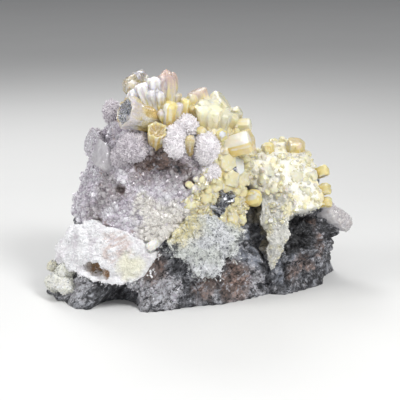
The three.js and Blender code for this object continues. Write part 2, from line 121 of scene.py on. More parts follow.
def height(points, lump):
    """Distance above the rock. A block is the smooth maximum of its faces' heights and the lump is the smooth
    minimum of its blocks; a hollow takes an ellipsoid away."""
    blocks = []
    for centre, sharp, faces in lump["blocks"]:
        azimuth, elevation, distance = np.array(faces, float).T
        above = (points - centre) @ aim(azimuth, elevation).T - distance
        blocks.append(smooth_max(np.moveaxis(above, -1, 0), sharp))
    h = -smooth_max(-np.stack(blocks), BLEND)
    for centre, radii in lump["hollows"]:
        q = (points - centre) / radii
        n = np.linalg.norm(q, axis=-1)
        slope = np.linalg.norm(q / radii, axis=-1) + TINY
        h = smooth_max(np.stack([h, -n * (n - 1) / slope]), HOLLOW_EDGE)
    return h


def surface(lump, directions, lift=0.0):
    """Where rays from the lump's heart meet its surface, raised by lift and cut off at the ground."""
    heart = np.array(lump["heart"], float)
    r = np.full(directions.shape[:-1], FAR)
    for _ in range(STEPS):
        p = heart + r[..., None] * directions
        h = np.maximum(height(p, lump) - lift, -p[..., 2])
        r = r - np.clip(h * STEP_SHARE, -LONGEST_STEP_BACK, LONGEST_STEP)
    return heart + r[..., None] * directions


def normals(points, lump):
    """Outward unit normals: the slope of the height along X, Y and Z."""
    here = height(points, lump)
    slopes = [height(points + SLOPE_STEP * axis, lump) - here for axis in np.eye(3)]
    return unit(np.stack(slopes, axis=-1))


# The odd factors of a 32-bit hash: one for each coordinate, one for the salt, and its two rounds of mixing.
HASH_X, HASH_Y, HASH_Z, HASH_SALT = 0x8DA6B343, 0xD8163841, 0xCB1AB31F, 0x9E3779B1
HASH_ROUNDS = ((15, 0x2C1B3C6D), (12, 0x297A2D39))
WORD = 2**32


def dice(cells, salt):
    """Even numbers from 0 to 1: each cell's whole-number corner, hashed. Each salt gives other numbers."""
    x, y, z = (cells[..., i].astype(np.uint32) for i in range(3))
    h = x * np.uint32(HASH_X) ^ y * np.uint32(HASH_Y) ^ z * np.uint32(HASH_Z)
    h = h ^ np.uint32(salt * HASH_SALT % WORD)
    for shift, factor in HASH_ROUNDS:
        h = (h ^ (h >> np.uint32(shift))) * np.uint32(factor)
    return (h ^ (h >> np.uint32(HASH_ROUNDS[0][0]))) / float(WORD)


def noise(points, size, salt):
    """Smooth noise from 0 to 1: numbers on a lattice of that size, eased between a cell's eight corners."""
    q = points / size
    base = np.floor(q).astype(np.int64)
    f = q - base
    f = f * f * (3 - 2 * f)
    total = 0.0
    for corner in product((0, 1), repeat=3):
        share = np.where(corner, f, 1 - f).prod(-1)
        total = total + share * dice(base + np.array(corner), salt)
    return total


def fractal(points, size, salt, octaves=4):
    """Noise from 0 to 1 with finer and fainter noise laid over it."""
    weights = 0.5 ** np.arange(octaves)
    layers = [w * noise(points, size * w, salt + i) for i, w in enumerate(weights)]
    return sum(layers) / weights.sum()


def stir(points, size, amount, salt):
    """Points pushed about by smooth noise, so that cells found from them have crooked borders."""
    shift = np.stack([noise(points, size, salt + i) for i in range(3)], axis=-1)
    return points + 2 * amount * (shift - 0.5)


def grains(points, size, salt):
    """Every point belongs to its nearest seed, one seed to a cell. Gives its distance from the seed, how much
    farther the next seed is, a number for the seed, and the height of a tilted plane through the seed."""
    q = points / size
    base = np.floor(q).astype(np.int64)
    near = np.full(q.shape[:-1], 9.0)
    second = np.full(q.shape[:-1], 9.0)
    number = np.zeros(q.shape[:-1])
    plane = np.zeros(q.shape[:-1])
    for corner in product((-1, 0, 1), repeat=3):
        cell = base + np.array(corner)
        away = q - cell - np.stack([dice(cell, salt + i) for i in range(3)], axis=-1)
        d = np.linalg.norm(away, axis=-1)
        tilt = np.stack([dice(cell, salt + 3 + i) for i in range(3)], axis=-1) - 0.5
        closer = d < near
        second = np.where(closer, near, np.minimum(second, d))
        number = np.where(closer, dice(cell, salt + 6), number)
        plane = np.where(closer, (away * tilt).sum(-1), plane)
        near = np.where(closer, d, near)
    return near, second - near, number, plane


def ramp(x, low, high):
    """0 at low and 1 at high, eased between them and level beyond them."""
    t = np.clip((x - low) / (high - low), 0, 1)
    return t * t * (3 - 2 * t)


def spots(points, places, fray, salt):
    """1 within a spot, easing to 0 past its edge, which noise frays. A spot is its middle and its radius."""
    frayed = 2 * fray * (fractal(points, 1.6, salt) - 0.5)
    shares = [
        ramp(np.linalg.norm(points - middle, axis=-1) + frayed, 1.2 * radius, 0.7 * radius)
        for middle, radius in places]
    return np.max(shares, axis=0)


def spotted(places, fray, salt):
    """The same spots as a function of a piece's points, for show to work out."""
    return lambda points: spots(points, places, fray, salt)


def closed_faces(rows, columns):
    """Faces of a closed surface: a pole, rows of points anticlockwise round it seen from the far pole, and
    that far pole."""
    at = 1 + np.arange(rows * columns).reshape(rows, columns)
    ahead = np.roll(at, -1, axis=1)
    quads = np.stack([at[:-1], ahead[:-1], ahead[1:], at[1:]], axis=-1).reshape(-1, 4)
    first = np.stack([np.zeros(columns, int), ahead[0], at[0]], axis=-1)
    last = np.stack([np.full(columns, rows * columns + 1), at[-1], ahead[-1]], axis=-1)
    return [quads, first, last]


def show(name, points, faces, material, slot, *nodes, smooth=True, crease=None, **values):
    """Puts a mesh of points in millimetres into the scene as a piece. A value is what its material reads at
    each point: an array, one number for all of them, or a function of the points. Edges that turn by more
    than the crease angle, in radians, stay sharp."""
    mesh = bpy.data.meshes.new(name)
    corners = np.concatenate([f.ravel() for f in faces])
    starts = np.cumsum(np.concatenate([[0], *(np.full(len(f), f.shape[1]) for f in faces)]))[:-1]
    mesh.vertices.add(len(points))
    mesh.vertices.foreach_set("co", (points * MM).astype(np.float32).ravel())
    mesh.loops.add(len(corners))
    mesh.loops.foreach_set("vertex_index", corners.astype(np.int32))
    mesh.polygons.add(len(starts))
    mesh.polygons.foreach_set("loop_start", starts.astype(np.int32))
    mesh.polygons.foreach_set("use_smooth", np.full(len(starts), smooth))
    for key, value in values.items():
        numbers = np.zeros(len(points)) + (value(points) if callable(value) else value)
        mesh.attributes.new(key, "FLOAT", "POINT").data.foreach_set("value", numbers.astype(np.float32))
    mesh.update(calc_edges=True)
    if crease:
        mesh.set_sharp_from_angle(angle=crease)
    mesh.materials.append(material)
    made = bpy.data.objects.new(name, mesh)
    bpy.context.scene.collection.objects.link(made)
    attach(made, "root")
    if nodes:
        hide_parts(*nodes)


SLANT = (0.0, -0.6, 0.0)   # the way streaks run: up to the right, turned about Y, in radians


class Shade:
    """A socket in a material. Sums and products of shades and numbers add their Math nodes."""

    def __init__(self, tree, socket=None):
        self.tree = tree
        self.socket = socket

    def add(self, kind, settings=None, inputs=None, output=0):
        """Adds a node of that type: settings go on the node first, then values or links on its sockets."""
        node = self.tree.nodes.new(kind)
        for key, value in (settings or {}).items():
            setattr(node, key, value)
        for key, value in (inputs or {}).items():
            if isinstance(value, Shade):
                self.tree.links.new(value.socket, node.inputs[key])
            else:
                node.inputs[key].default_value = value
        return Shade(self.tree, node.outputs[output]) if node.outputs else node

    def math(self, operation, *values):
        """A Math node's result for shades or numbers."""
        return self.add("ShaderNodeMath", {"operation": operation}, dict(enumerate(values)))

    def __add__(self, other):
        return self.math("ADD", self, other)

    def __radd__(self, other):
        return self.math("ADD", other, self)

    def __sub__(self, other):
        return self.math("SUBTRACT", self, other)

    def __rsub__(self, other):
        return self.math("SUBTRACT", other, self)

    def __mul__(self, other):
        return self.math("MULTIPLY", self, other)

    def __rmul__(self, other):
        return self.math("MULTIPLY", other, self)

    def step(self, low, high):
        """0 where this is at low and 1 where it is at high, eased between them."""
        if low > high:
            return 1.0 - self.step(high, low)
        settings = {"interpolation_type": "SMOOTHSTEP"}
        return self.add("ShaderNodeMapRange", settings, {0: self, 1: low, 2: high, 3: 0.0, 4: 1.0})

    def place(self):
        """Object coordinates."""
        return self.add("ShaderNodeTexCoord", output="Object")

    def value(self, name):
        """One of the mesh's own values."""
        return self.add("ShaderNodeAttribute", {"attribute_name": name}, output="Fac")

    def slanted(self, stretch):
        """Object coordinates squeezed along a slant: what is drawn from them is that many times longer."""
        inputs = {"Vector": self.place(), "Rotation": SLANT, "Scale": (stretch, 1.0, 1.0)}
        return self.add("ShaderNodeMapping", {"vector_type": "TEXTURE"}, inputs)

    def cloud(self, size, detail=4.0, roughness=0.6, stretch=None):
        """Soft noise whose blotches are that many millimetres across."""
        place = self.slanted(stretch) if stretch else self.place()
        inputs = {"Vector": place, "Scale": 1 / (size * MM), "Detail": detail, "Roughness": roughness}
        return self.add("ShaderNodeTexNoise", {}, inputs, "Fac")

    def specks(self, size):
        """Distance from the middles of cells that many millimetres across."""
        inputs = {"Vector": self.place(), "Scale": 1 / (size * MM)}
        return self.add("ShaderNodeTexVoronoi", {}, inputs, "Distance")

    def mix(self, share, a, b):
        """Colour a where share is 0 and b where it is 1."""
        a, b = (c if isinstance(c, Shade) else (*c, 1.0) for c in (a, b))
        return self.add("ShaderNodeMix", {"data_type": "RGBA"}, {0: share, 6: a, 7: b}, 2)

    def layers(self, colour, *coats):
        """A colour with others laid over it in turn. A coat is its share and its colour."""
        for share, over in coats:
            colour = self.mix(share, colour, over)
        return colour

    def bump(self, relief, depth):
        """A normal from relief, which is 0 to 1, that stands depth millimetres high."""
        return self.add("ShaderNodeBump", {}, {"Strength": 1.0, "Distance": depth * MM, "Height": relief})


def new_material(name):
    """An empty material, and a shade to start its nodes from."""
    material = bpy.data.materials.new(name)
    material.use_nodes = True
    material.node_tree.nodes.clear()
    return material, Shade(material.node_tree)


def finish_material(start, **inputs):
    """The shader itself: names with an underscore are its sockets' names with a space."""
    sockets = {key.replace("_", " "): value for key, value in inputs.items()}
    shader = start.add("ShaderNodeBsdfPrincipled", {}, sockets)
    start.add("ShaderNodeOutputMaterial", {}, {"Surface": shader})


GOSSAN, start = new_material("gossan_matrix")
broad = start.cloud(3.2, 5.0)
fine = start.cloud(0.7, 6.0, 0.7)
flecks = start.cloud(0.5, 5.0, 0.8)
sugar = start.cloud(1.6, 6.0, 0.75)
grit = start.specks(0.35)
crumbs = start.mix(start.cloud(0.7, 4.0, 0.7).step(0.36, 0.60), (0.20, 0.19, 0.19), (0.72, 0.72, 0.77))
rust = start.mix(sugar.step(0.42, 0.62), (0.17, 0.12, 0.10), (0.40, 0.23, 0.16))
streaks = start.cloud(1.0, 4.0, 0.75, 3.0)
stone = start.layers(
    (0.020, 0.020, 0.024),
    ((broad * 0.6 + fine * 0.6).step(0.50, 0.72), (0.24, 0.245, 0.27)),
    (start.value("steel") * broad.step(0.35, 0.6) * 0.85, (0.32, 0.35, 0.42)),
    ((sugar + flecks * 0.5 + start.value("pale") * 0.2).step(0.77, 0.88) * 0.85, crumbs),
    # rust: rust stains, and painted shade in the recess under the balls
    (start.value("rust") * (0.35 + fine).step(0.6, 0.95) * 0.8, rust),
    (start.value("ochre") * (0.35 + fine).step(0.5, 0.85) * 0.9, (0.27, 0.24, 0.17)),
    (streaks.step(0.55, 0.66) * 0.7, (0.60, 0.62, 0.68)),
    (streaks.step(0.44, 0.38) * 0.9, (0.010, 0.010, 0.012)),
    (start.value("vug") * (fine + grit * 0.4).step(1.15, 0.6), (0.008, 0.008, 0.009)))
finish_material(
    start, Base_Color=stone, Roughness=0.18 + 0.55 * fine, Specular_IOR_Level=0.6,
    Normal=start.bump(fine + flecks * 0.5 + grit * 0.4, 0.4))

TOWER_GRID = (144, 256)
LOBE_GRID = (108, 180)
GROUND_EASE = 0.6      # the breaks fade out this far above the flat underside


def lump_directions(rows, columns):
    """Directions all round a heart: a pole straight down, rings that climb, a pole straight up."""
    elevation = np.linspace(-90, 90, rows + 2)[1:-1, None]
    azimuth = np.linspace(0, 360, columns, endpoint=False)[None, :]
    ring = aim(azimuth + 0 * elevation, elevation + 0 * azimuth).reshape(-1, 3)
    return np.concatenate([[[0, 0, -1.0]], ring, [[0, 0, 1.0]]])


def rim_of(reaches, bearing):
    """The rim of a crust, as (right, up) in degrees: a closed Catmull-Rom curve through reaches set out
    clockwise from straight up."""
    count = len(reaches)
    clock = np.arange(count) / count * 2 * np.pi
    knots = np.stack([np.sin(clock), np.cos(clock)], axis=-1) * np.array(reaches, float)[:, None]
    u = bearing / (2 * np.pi) * count
    i = np.floor(u).astype(int)
    f = (u - i)[..., None]
    a, b, c, d = (knots[(i + k) % count] for k in (-1, 0, 1, 2))
    return b + 0.5 * f * (c - a + f * (2 * a - 5 * b + 4 * c - d + f * (3 * (b - c) + d - a)))


def facing(azimuth, elevation):
    """The way a crust faces, seen from the heart, with its up and right."""
    axis = aim(float(azimuth), float(elevation))
    up = unit(np.array([0, 0, 1.0]) - axis * axis[2])
    return axis, up, np.cross(up, axis)


def inside(directions, at, reaches):
    """Where directions from the heart fall in a crust: 0 at its centre, 1 at its rim, more beyond it."""
    axis, up, right = facing(*at)
    x, y, z = directions @ right, directions @ up, directions @ axis
    bearing = np.arctan2(x, y) % (2 * np.pi)
    return np.degrees(np.arctan2(np.hypot(x, y), z)) / np.linalg.norm(rim_of(reaches, bearing), axis=-1)


# Splinters: their size, their salt, how much they tilt and how deep the crevices between them are.
SPLINTERS = ((4.2, 11, 3.0, 1.1), (2.0, 21, 1.5, 0.5), (0.9, 31, 0.7, 0.15))
CREVICE_WIDTH = 0.22       # as a share of a splinter's size
BREAK_DEPTHS = (0.02, 2.6)   # the shallowest and the deepest that a break goes


def broken(points):
    """How far the broken surface lies below the smooth one: a grain, less the heights of tilted splinters of
    three sizes, plus the crevices between them."""
    crooked = stir(points, 2.4, 0.6, 9)
    relief = 0.5 + 0.6 * fractal(points, 1.0, 41)
    for size, salt, tilt, crevice in SPLINTERS:
        _, gap, _, plane = grains(crooked, size, salt)
        relief = relief - tilt * plane + crevice * ramp(gap, CREVICE_WIDTH, 0.0)
    return np.clip(relief, *BREAK_DEPTHS)


# A patch is the way its middle faces and its reaches. A spot is its middle and its radius.
VUG = ((-73, 7), (21, 22, 31, 33, 27, 24, 22, 28, 24, 21, 24, 25))
RUST_STREAK = ((-43, 10), (10, 8, 6, 5, 6, 8, 9, 9, 8, 8, 7, 11))
# Rust stains on the rock. The one at (-8.3, -8.2, 28.2), where the rock shows through the druse in the recess
# under the balls, is painted shade.
RUST_AND_RECESS_SHADE_SPOTS = [
    ((7.5, -8.0, 4.0), 4.2), ((1.5, -11.2, 3.5), 3.0), ((-8.8, -12.8, 7.8), 3.2), ((25.6, 1.2, 8.9), 2.6),
    ((4, 21, 12), 6.0), ((21.0, -3.0, 5.0), 3.4), ((-8.3, -8.2, 28.2), 3.4), ((-20, 8, 7), 5.0),
    ((24, 15, 8), 4.0), ((-3, 14, 25), 4.0)]
PALE_SPOTS = [
    ((-6.5, -13.2, 3.5), 3.6), ((-12.5, -13.2, 3.0), 4.0), ((-23.0, -9.0, 3.0), 3.0),
    ((11.3, -5.7, 3.1), 2.6), ((-12, 13, 14), 4.0), ((12, 16, 6), 4.0)]
OCHRE_SPOTS = [((13.2, 2.0, 14.5), 3.6), ((13.2, -0.6, 9.8), 2.2)]
STEEL_SPOTS = [
    ((18.6, -0.9, 15.5), 3.2), ((9.6, -2.1, 14.0), 4.0), ((10.6, -4.4, 9.0), 3.2), ((17.9, -4.3, 5.3), 4.0),
    ((12, 15, 18), 4.0)]
DUST_PATCHES = spotted(PALE_SPOTS, 1.6, 61)


def rock_skin(lump, way):
    """The broken surface of a lump along directions from its heart: the smooth one drawn in towards the heart
    by its breaks and, in the vug, by pits. Gives its points and where it is a vug."""
    smooth = surface(lump, way)
    vug = np.zeros(len(way))
    if lump is LOBE:
        vug = ramp(inside(way, *VUG) + 0.3 * fractal(smooth, 2.0, 51), 1.2, 1.05)
    pits = 1.8 * fractal(smooth, 2.2, 53) + 1.5 * grains(smooth, 1.6, 55)[3]
    sink = broken(smooth) + vug * (0.3 + 1.6 * pits)
    return smooth - way * (sink * ramp(smooth[:, 2], 0.0, GROUND_EASE))[:, None], vug


for name, lump, grid in (("matrix_tower", TOWER, TOWER_GRID), ("matrix_lobe", LOBE, LOBE_GRID)):
    way = lump_directions(*grid)
    skin, vug = rock_skin(lump, way)
    streak = ramp(inside(way, *RUST_STREAK), 1.2, 0.6) if lump is LOBE else 0 * vug
    show(
        name, skin, closed_faces(*grid), GOSSAN, "matrix", "matrix_rock", vug=vug * (1 - streak),
        rust=np.maximum(streak, spots(skin, RUST_AND_RECESS_SHADE_SPOTS, 1.6, 57)), pale=DUST_PATCHES,
        steel=spotted(STEEL_SPOTS, 1.6, 65), ochre=spotted(OCHRE_SPOTS, 1.2, 69))

# ---------------------------------------------------------------- chalky white crust
# A hard white skin over the lower left, thick at its upper edge, where it breaks off in a small step.
# Fine sugary quartz, stained lilac in streaks and cream in one patch, grown straight on the rock.

CRUST_SUNK = 3.2       # how far a crust's underside lies inside the rock
ROUND_FROM = 0.955     # a crust rounds over from this share of the way out to its rim
ROUNDED = 0.75         # a crust's thickness at its rim is the root of 1 less this
FRAY_REACH = 17.0      # a rim's raggedness is read at this distance from the heart
DOME_REACH = 0.85      # how far a lump's dome reaches, in cells
LEAST_DOME = 0.35      # the lowest dome's height, as a share of the highest's


def lumps(points, size, salt, depth):
    """Swellings like cauliflower: a round dome over each seed, its height drawn for that seed."""
    near, _, number, _ = grains(stir(points, size * 1.5, size * 0.3, salt + 20), size, salt)
    dome = np.sqrt(np.clip(1 - (near / DOME_REACH) ** 2, 0, 1))
    return depth * dome * (LEAST_DOME + (1 - LEAST_DOME) * number)


def round_over(share):
    """How much of a crust's thickness is left at a share of the way out: 1, then less, down to half at the
    rim."""
    return np.sqrt(1 - ramp(share, ROUND_FROM, 1.0) * ROUNDED)


def crust_top(crust, share, bearing):
    """A crust's upper surface at a share of the way out to the rim and at a bearing: the rock's surface
    raised by a thickness that thins to the rim, then swollen by the crust's own relief. Gives its points, the
    ways out of it and the directions from the heart."""
    lump = crust["lump"]
    axis, up, right = facing(*crust["at"])
    rim = rim_of(crust["reaches"], bearing)
    far = np.radians(np.linalg.norm(rim, axis=-1))
    side = unit(rim[..., :1] * right + rim[..., 1:] * up)
    frayed = fractal(side * far[..., None] * FRAY_REACH, 2.5, 71) - 0.5
    angle = far * share * (1 + 2 * crust["ragged"] * frayed)
    way = axis * np.cos(angle)[..., None] + side * np.sin(angle)[..., None]
    thickness = crust["thick"] + (crust["rim"] - crust["thick"]) * share**3
    smooth = surface(lump, way, thickness * round_over(share))
    out = normals(smooth, lump)
    return smooth + out * (crust["swell"](smooth) * round_over(share))[..., None], out, way


def crust_sheet(crust):
    """A crust's points and faces: its top from the middle out to the rim, then down into the rock."""
    rings, columns = crust["grid"]
    share = np.linspace(0, 1, rings + 1)[1:, None]
    bearing = np.linspace(0, 2 * np.pi, columns, endpoint=False)[None, :]
    top, _, way = crust_top(crust, share + 0 * bearing, bearing + 0 * share)
    middle = crust_top(crust, np.zeros(1), np.zeros(1))[0]
    under = surface(crust["lump"], way[-1], -CRUST_SUNK)
    deep = (np.array(crust["lump"]["heart"]) + middle) / 2
    return np.concatenate([middle, top.reshape(-1, 3), under, deep]), closed_faces(rings + 1, columns)


def swelling(depth, size, salt, sink, *domes, octaves=3):
    """A crust's own relief, as a function of points: noise of that depth, sunk a little, with lumps on it."""
    def swell(points):
        relief = depth * fractal(points, size, salt, octaves) - sink
        for dome in domes:
            relief = relief + lumps(points, *dome)
        return relief
    return swell


CAVITY = [((-20.5, -11.7, 8.1), 1.8), ((-18.3, -12.4, 7.0), 1.3)]
CAVITY_DEPTH = 1.6
CAVITY_FLOOR = [((-19.4, -10.3, 8.3), 2.2), ((-17.3, -11.0, 7.1), 1.7)]
WHITE_SWELL = swelling(1.7, 4.0, 81, 0.8, (1.8, 83, 0.7), (0.7, 85, 0.35))
CREAM_PATCH = [((-13.2, -12.5, 9.0), 3.2)]
TAN_PATCH = [((-15.8, -12.5, 12.2), 3.4)]

# A crust is the lump it lies on, the way its middle faces, its reaches in degrees, its thickness in the
# middle and at the rim, how ragged the rim is, how many rings and columns of points it has, and its relief.
WHITE_CRUST = {
    "lump": TOWER, "at": (-137, -4),
    "reaches": (9, 11, 13, 17, 25, 32, 30, 22, 17, 17, 22, 29, 31, 19, 16, 12),
    "thick": 1.0, "rim": 0.4, "ragged": 0.19, "grid": (56, 190),
    "swell": lambda points: WHITE_SWELL(points) - CAVITY_DEPTH * spots(points, CAVITY, 0.8, 79)}
CHALK_STAINS = {
    "cream": spotted(CREAM_PATCH, 1.2, 87), "tan": spotted(TAN_PATCH, 1.6, 88),
    "brown": spotted(CAVITY_FLOOR, 0.8, 89)}

CHALK, start = new_material("chalky_white")
streaks = start.cloud(2.4, 5.0, 0.7).step(0.46, 0.64)
frost = start.cloud(0.35, 4.0, 0.7)
ribs = start.cloud(0.7, 3.0, 0.6, 4.0)
earth = start.mix(streaks, (0.34, 0.20, 0.10), (0.22, 0.21, 0.10))
chalk = start.layers(
    (0.97, 0.965, 0.98),
    (streaks * 0.6, (0.74, 0.68, 0.73)),
    (start.value("tan") * ribs.step(0.42, 0.60) * 0.8, (0.76, 0.64, 0.60)),
    (start.value("cream"), (0.96, 0.94, 0.80)),
    (start.value("brown") * frost.step(0.25, 0.50), earth))
finish_material(
    start, Base_Color=chalk, Roughness=0.2 + 0.5 * frost, Subsurface_Weight=0.2, Subsurface_Scale=0.0005,
    Subsurface_Radius=(1.0, 0.9, 0.85), Normal=start.bump(frost + start.specks(0.3) * 0.6, 0.18))

show("white_crust_sheet", *crust_sheet(WHITE_CRUST), CHALK, "chalk_crust", "white_crust", **CHALK_STAINS)

# ---------------------------------------------------------------- granular crust
# White to grey-green grains heaped on the middle of the rock, with dark rock showing between the heaps.
# Cauliflower lumps grown over with tiny crystals, some of them blades.

GRANULAR_CRUST = {
    "lump": TOWER, "at": (-62, -4),
    "reaches": (21, 22, 23, 27, 34, 28, 22, 23, 26, 25, 24, 27, 31, 29, 28, 25),
    "thick": 1.0, "rim": 0.2, "ragged": 0.26, "grid": (56, 200),
    "swell": swelling(1.0, 4.0, 91, 0.5, (2.4, 93, 1.5), (1.1, 95, 0.6), (0.5, 97, 0.15))}
YELLOW_STAIN = [((-4.2, -11.0, 17.4), 5.0), ((6.5, -5.5, 16.5), 3.0)]
DARK_STAIN = [
    ((0.5, -9.5, 12.5), 1.6), ((3.5, -8.5, 10.5), 1.2), ((7.5, -6.5, 12.5), 1.6), ((-5, -12.3, 12.5), 1.4)]
GRANULAR_STAINS = {"yellow": spotted(YELLOW_STAIN, 1.6, 101), "dark": spotted(DARK_STAIN, 1.0, 105)}

GRANULAR, start = new_material("granular_white")
green = start.cloud(3.2, 4.0).step(0.42, 0.60)
dark = start.cloud(0.9, 5.0, 0.75)
sugar = start.specks(0.28)
tone = start.value("number")
slits = start.cloud(0.35, 3.0, 0.7, 4.0)
grain_colour = start.layers(
    (0.97, 0.98, 1.0),
    (green, (0.90, 0.92, 0.89)),
    (start.value("yellow") * (0.4 + tone).step(0.3, 1.0), (0.90, 0.83, 0.52)),
    (slits.step(0.41, 0.34) * 0.7, (0.20, 0.21, 0.21)),
    ((dark + start.value("dark") * 0.22).step(0.55, 0.66) * 0.85, (0.12, 0.13, 0.14)),
    (tone.step(0.90, 0.93) * (0.8 - 2.5 * start.value("yellow")), (0.12, 0.13, 0.15)))
finish_material(
    start, Base_Color=grain_colour, Roughness=0.15 + 0.5 * sugar, Transmission_Weight=0.15, IOR=1.55,
    Normal=start.bump(sugar, 0.10))
show(
    "granular_crust_sheet", *crust_sheet(GRANULAR_CRUST), GRANULAR, "granular_crust", "granular_crust",
    number=lambda points: noise(points, 0.8, 109), **GRANULAR_STAINS)


DRAWS = 4              # how many places are drawn for each that is asked for
HALO_FROM = 0.97       # a halo starts at this share of the way out to a crust's rim
CLEAR_OF_GROUND = 0.5


def scatter(crust, count, rng, edge=1.0):
    """Points strewn at random over a crust out to a share of its rim, as dense everywhere: a bearing is kept
    as often as its reach squared says. Gives them, the ways out of the crust and the directions from the
    heart."""
    share = edge * np.sqrt(rng.uniform(0, 1, DRAWS * count))
    bearing = rng.uniform(0, 2 * np.pi, DRAWS * count)
    far = np.linalg.norm(rim_of(crust["reaches"], bearing), axis=-1)
    kept = np.flatnonzero(rng.uniform(0, max(crust["reaches"]) ** 2, DRAWS * count) < far**2)[:count]
    return crust_top(crust, share[kept], bearing[kept])


def halo(crust, count, reach, rng):
    """Points strewn on the bare rock round a crust, fewer and fewer from its rim to that reach beyond it, and
    the ways out of the rock."""
    share = HALO_FROM + reach * rng.uniform(0, 1, count) ** 3
    way = crust_top(crust, share, rng.uniform(0, 2 * np.pi, count))[2]
    roots = rock_skin(crust["lump"], way)[0]
    above = roots[:, 2] > CLEAR_OF_GROUND
    return roots[above], normals(roots[above], crust["lump"])


def frames(axes, turns):
    """Right-handed axes for each crystal, the third one along it, turned about it by an angle."""
    helper = np.where(np.abs(axes[:, 2:]) < 0.9, [[0, 0, 1.0]], [[1.0, 0, 0]])
    x = unit(np.cross(helper, axes))
    y = np.cross(axes, x)
    c, s = np.cos(turns)[:, None], np.sin(turns)[:, None]
    return np.stack([x * c + y * s, y * c - x * s, axes], axis=1)


# A small crystal's rings of six corners: share of the half width, share of the length. A last ring of no
# width is its tip.
SIDES = 6
SHARD = ((1.0, 0.0), (0.0, 1.0))
POINTED = ((1.0, 0.0), (1.0, 0.5), (0.0, 1.0))
BLOCKY = ((1.0, 0.0), (1.0, 0.84), (0.78, 1.0))


def small_crystals(rings, roots, axes, widths, lengths, rng):
    """Points, faces and a random number for each of many six-sided crystals: rings of corners scaled to a
    width, up to a quarter more one way and less the other, and to a length, then turned about the axis."""
    clock = np.arange(SIDES) / SIDES * 2 * np.pi
    circle = np.stack([np.cos(clock), np.sin(clock), 0 * clock], axis=-1)
    pointed = rings[-1][0] == 0
    shape = [circle * [r, r, 0] + [0, 0, z] for r, z in (rings[:-1] if pointed else rings)]
    shape = np.concatenate(shape + ([[[0, 0, 1.0]]] if pointed else []))
    count = len(roots)
    squash = rng.uniform(0.75, 1.25, count)
    scale = np.stack([widths / 2 * squash, widths / 2 / squash, lengths], axis=-1)
    turned = np.einsum("nvi,nij->nvj", shape * scale[:, None], frames(axes, rng.uniform(0, 6.28, count)))
    a = np.arange(SIDES)
    b = (a + 1) % SIDES
    last = SIDES * (len(rings) - 1)
    bands = range(len(rings) - 1 - pointed)
    cells = [np.stack([a, b, b + SIDES, a + SIDES], axis=-1) + SIDES * band for band in bands]
    cells.append(a[None, ::-1])
    fan = np.stack([a + last - SIDES, b + last - SIDES, 0 * a + last], axis=-1)
    cells.append(fan if pointed else a[None] + last)
    offset = (np.arange(count) * len(shape))[:, None, None]
    faces = [(cell[None] + offset).reshape(-1, cell.shape[1]) for cell in cells]
    return (turned + roots[:, None]).reshape(-1, 3), faces, np.repeat(rng.uniform(0, 1, count), len(shape))


def bristle(ways, rng, spread_angle):
    """Directions tilted away from given ones by a random angle, in radians."""
    return unit(ways + rng.normal(0, spread_angle, ways.shape))


def joined(*parts):
    """Sets of like arrays, laid end to end."""
    return [np.concatenate(found) for found in zip(*parts)]


BLADES = 5200
HALO_BLADES = 1500
rng = np.random.default_rng(7)
roots, out = joined(
    scatter(GRANULAR_CRUST, BLADES, rng, 0.98)[:2], halo(GRANULAR_CRUST, HALO_BLADES, 0.3, rng))
length = rng.uniform(0.3, 0.75, len(roots))
points, faces, number = small_crystals(
    SHARD, roots - 0.12 * out, bristle(out, rng, 0.8), rng.uniform(0.18, 0.42, len(roots)), length, rng)
show(
    "granular_blades", points, faces, GRANULAR, "granular_crust", smooth=False, number=number,
    **GRANULAR_STAINS)

WHITE_BLADES = 4200
WHITE_HALO = 1300
roots, out = joined(
    scatter(WHITE_CRUST, WHITE_BLADES, rng, 0.97)[:2], halo(WHITE_CRUST, WHITE_HALO, 0.2, rng))
length = rng.uniform(0.15, 0.4, len(roots))
points, faces, number = small_crystals(
    SHARD, roots - 0.1 * out, bristle(out, rng, 0.9), rng.uniform(0.25, 0.6, len(roots)), length, rng)
show("white_blades", points, faces, CHALK, "chalk_crust", smooth=False, **CHALK_STAINS)

# ---------------------------------------------------------------- quartz druse
# A lilac-grey carpet of tiny quartz points over the left flank, on a brownish skin of quartz.
# The points grew outwards from the skin and stand at all angles; a dusting of them lies on the bare rock.

# Three small brown pits in the carpet. The three larger middle ones sink it in the recess under the balls'
# front and colour that recess brown as painted shade.
BROWN_PITS_AND_RECESS_SHADE = [
    ((-15.3, -9.2, 22.9), 1.3), ((-19.9, -8.4, 16.3), 1.2), ((-10.6, -8.0, 28.2), 2.4),
    ((-7.2, -8.6, 28.8), 2.8), ((-3.6, -9.2, 27.0), 1.9), ((-2.0, -9.6, 24.5), 1.3)]
BROWN_TINGE = [
    ((-17.5, -9.0, 22.5), 3.6), ((-21.0, -7.5, 18.0), 2.6), ((-3.5, -9.6, 26.5), 4.2),
    ((-12.0, -9.5, 26.5), 3.6), ((-18.4, -7.6, 29.5), 3.2)]
WARM_PATCH = [((-6.5, -12.6, 16.0), 5.5), ((-10.5, -12.2, 20.0), 2.6)]
DRUSE_SWELL = swelling(1.5, 4.2, 111, 0.8, (2.6, 113, 0.8), (1.2, 115, 0.4))
DRUSE_SUNK = 0.5
DRUSE = {
    "lump": TOWER, "at": (-128, 25),
    "reaches": (37, 38, 45, 56, 46, 42, 36, 26, 20, 19, 25, 43, 60, 59, 52, 42),
    "thick": 0.3, "rim": 0.1, "ragged": 0.04, "grid": (50, 180),
    "swell": lambda points: DRUSE_SWELL(points) - spots(points, BROWN_PITS_AND_RECESS_SHADE, 1.0, 119) - DRUSE_SUNK}

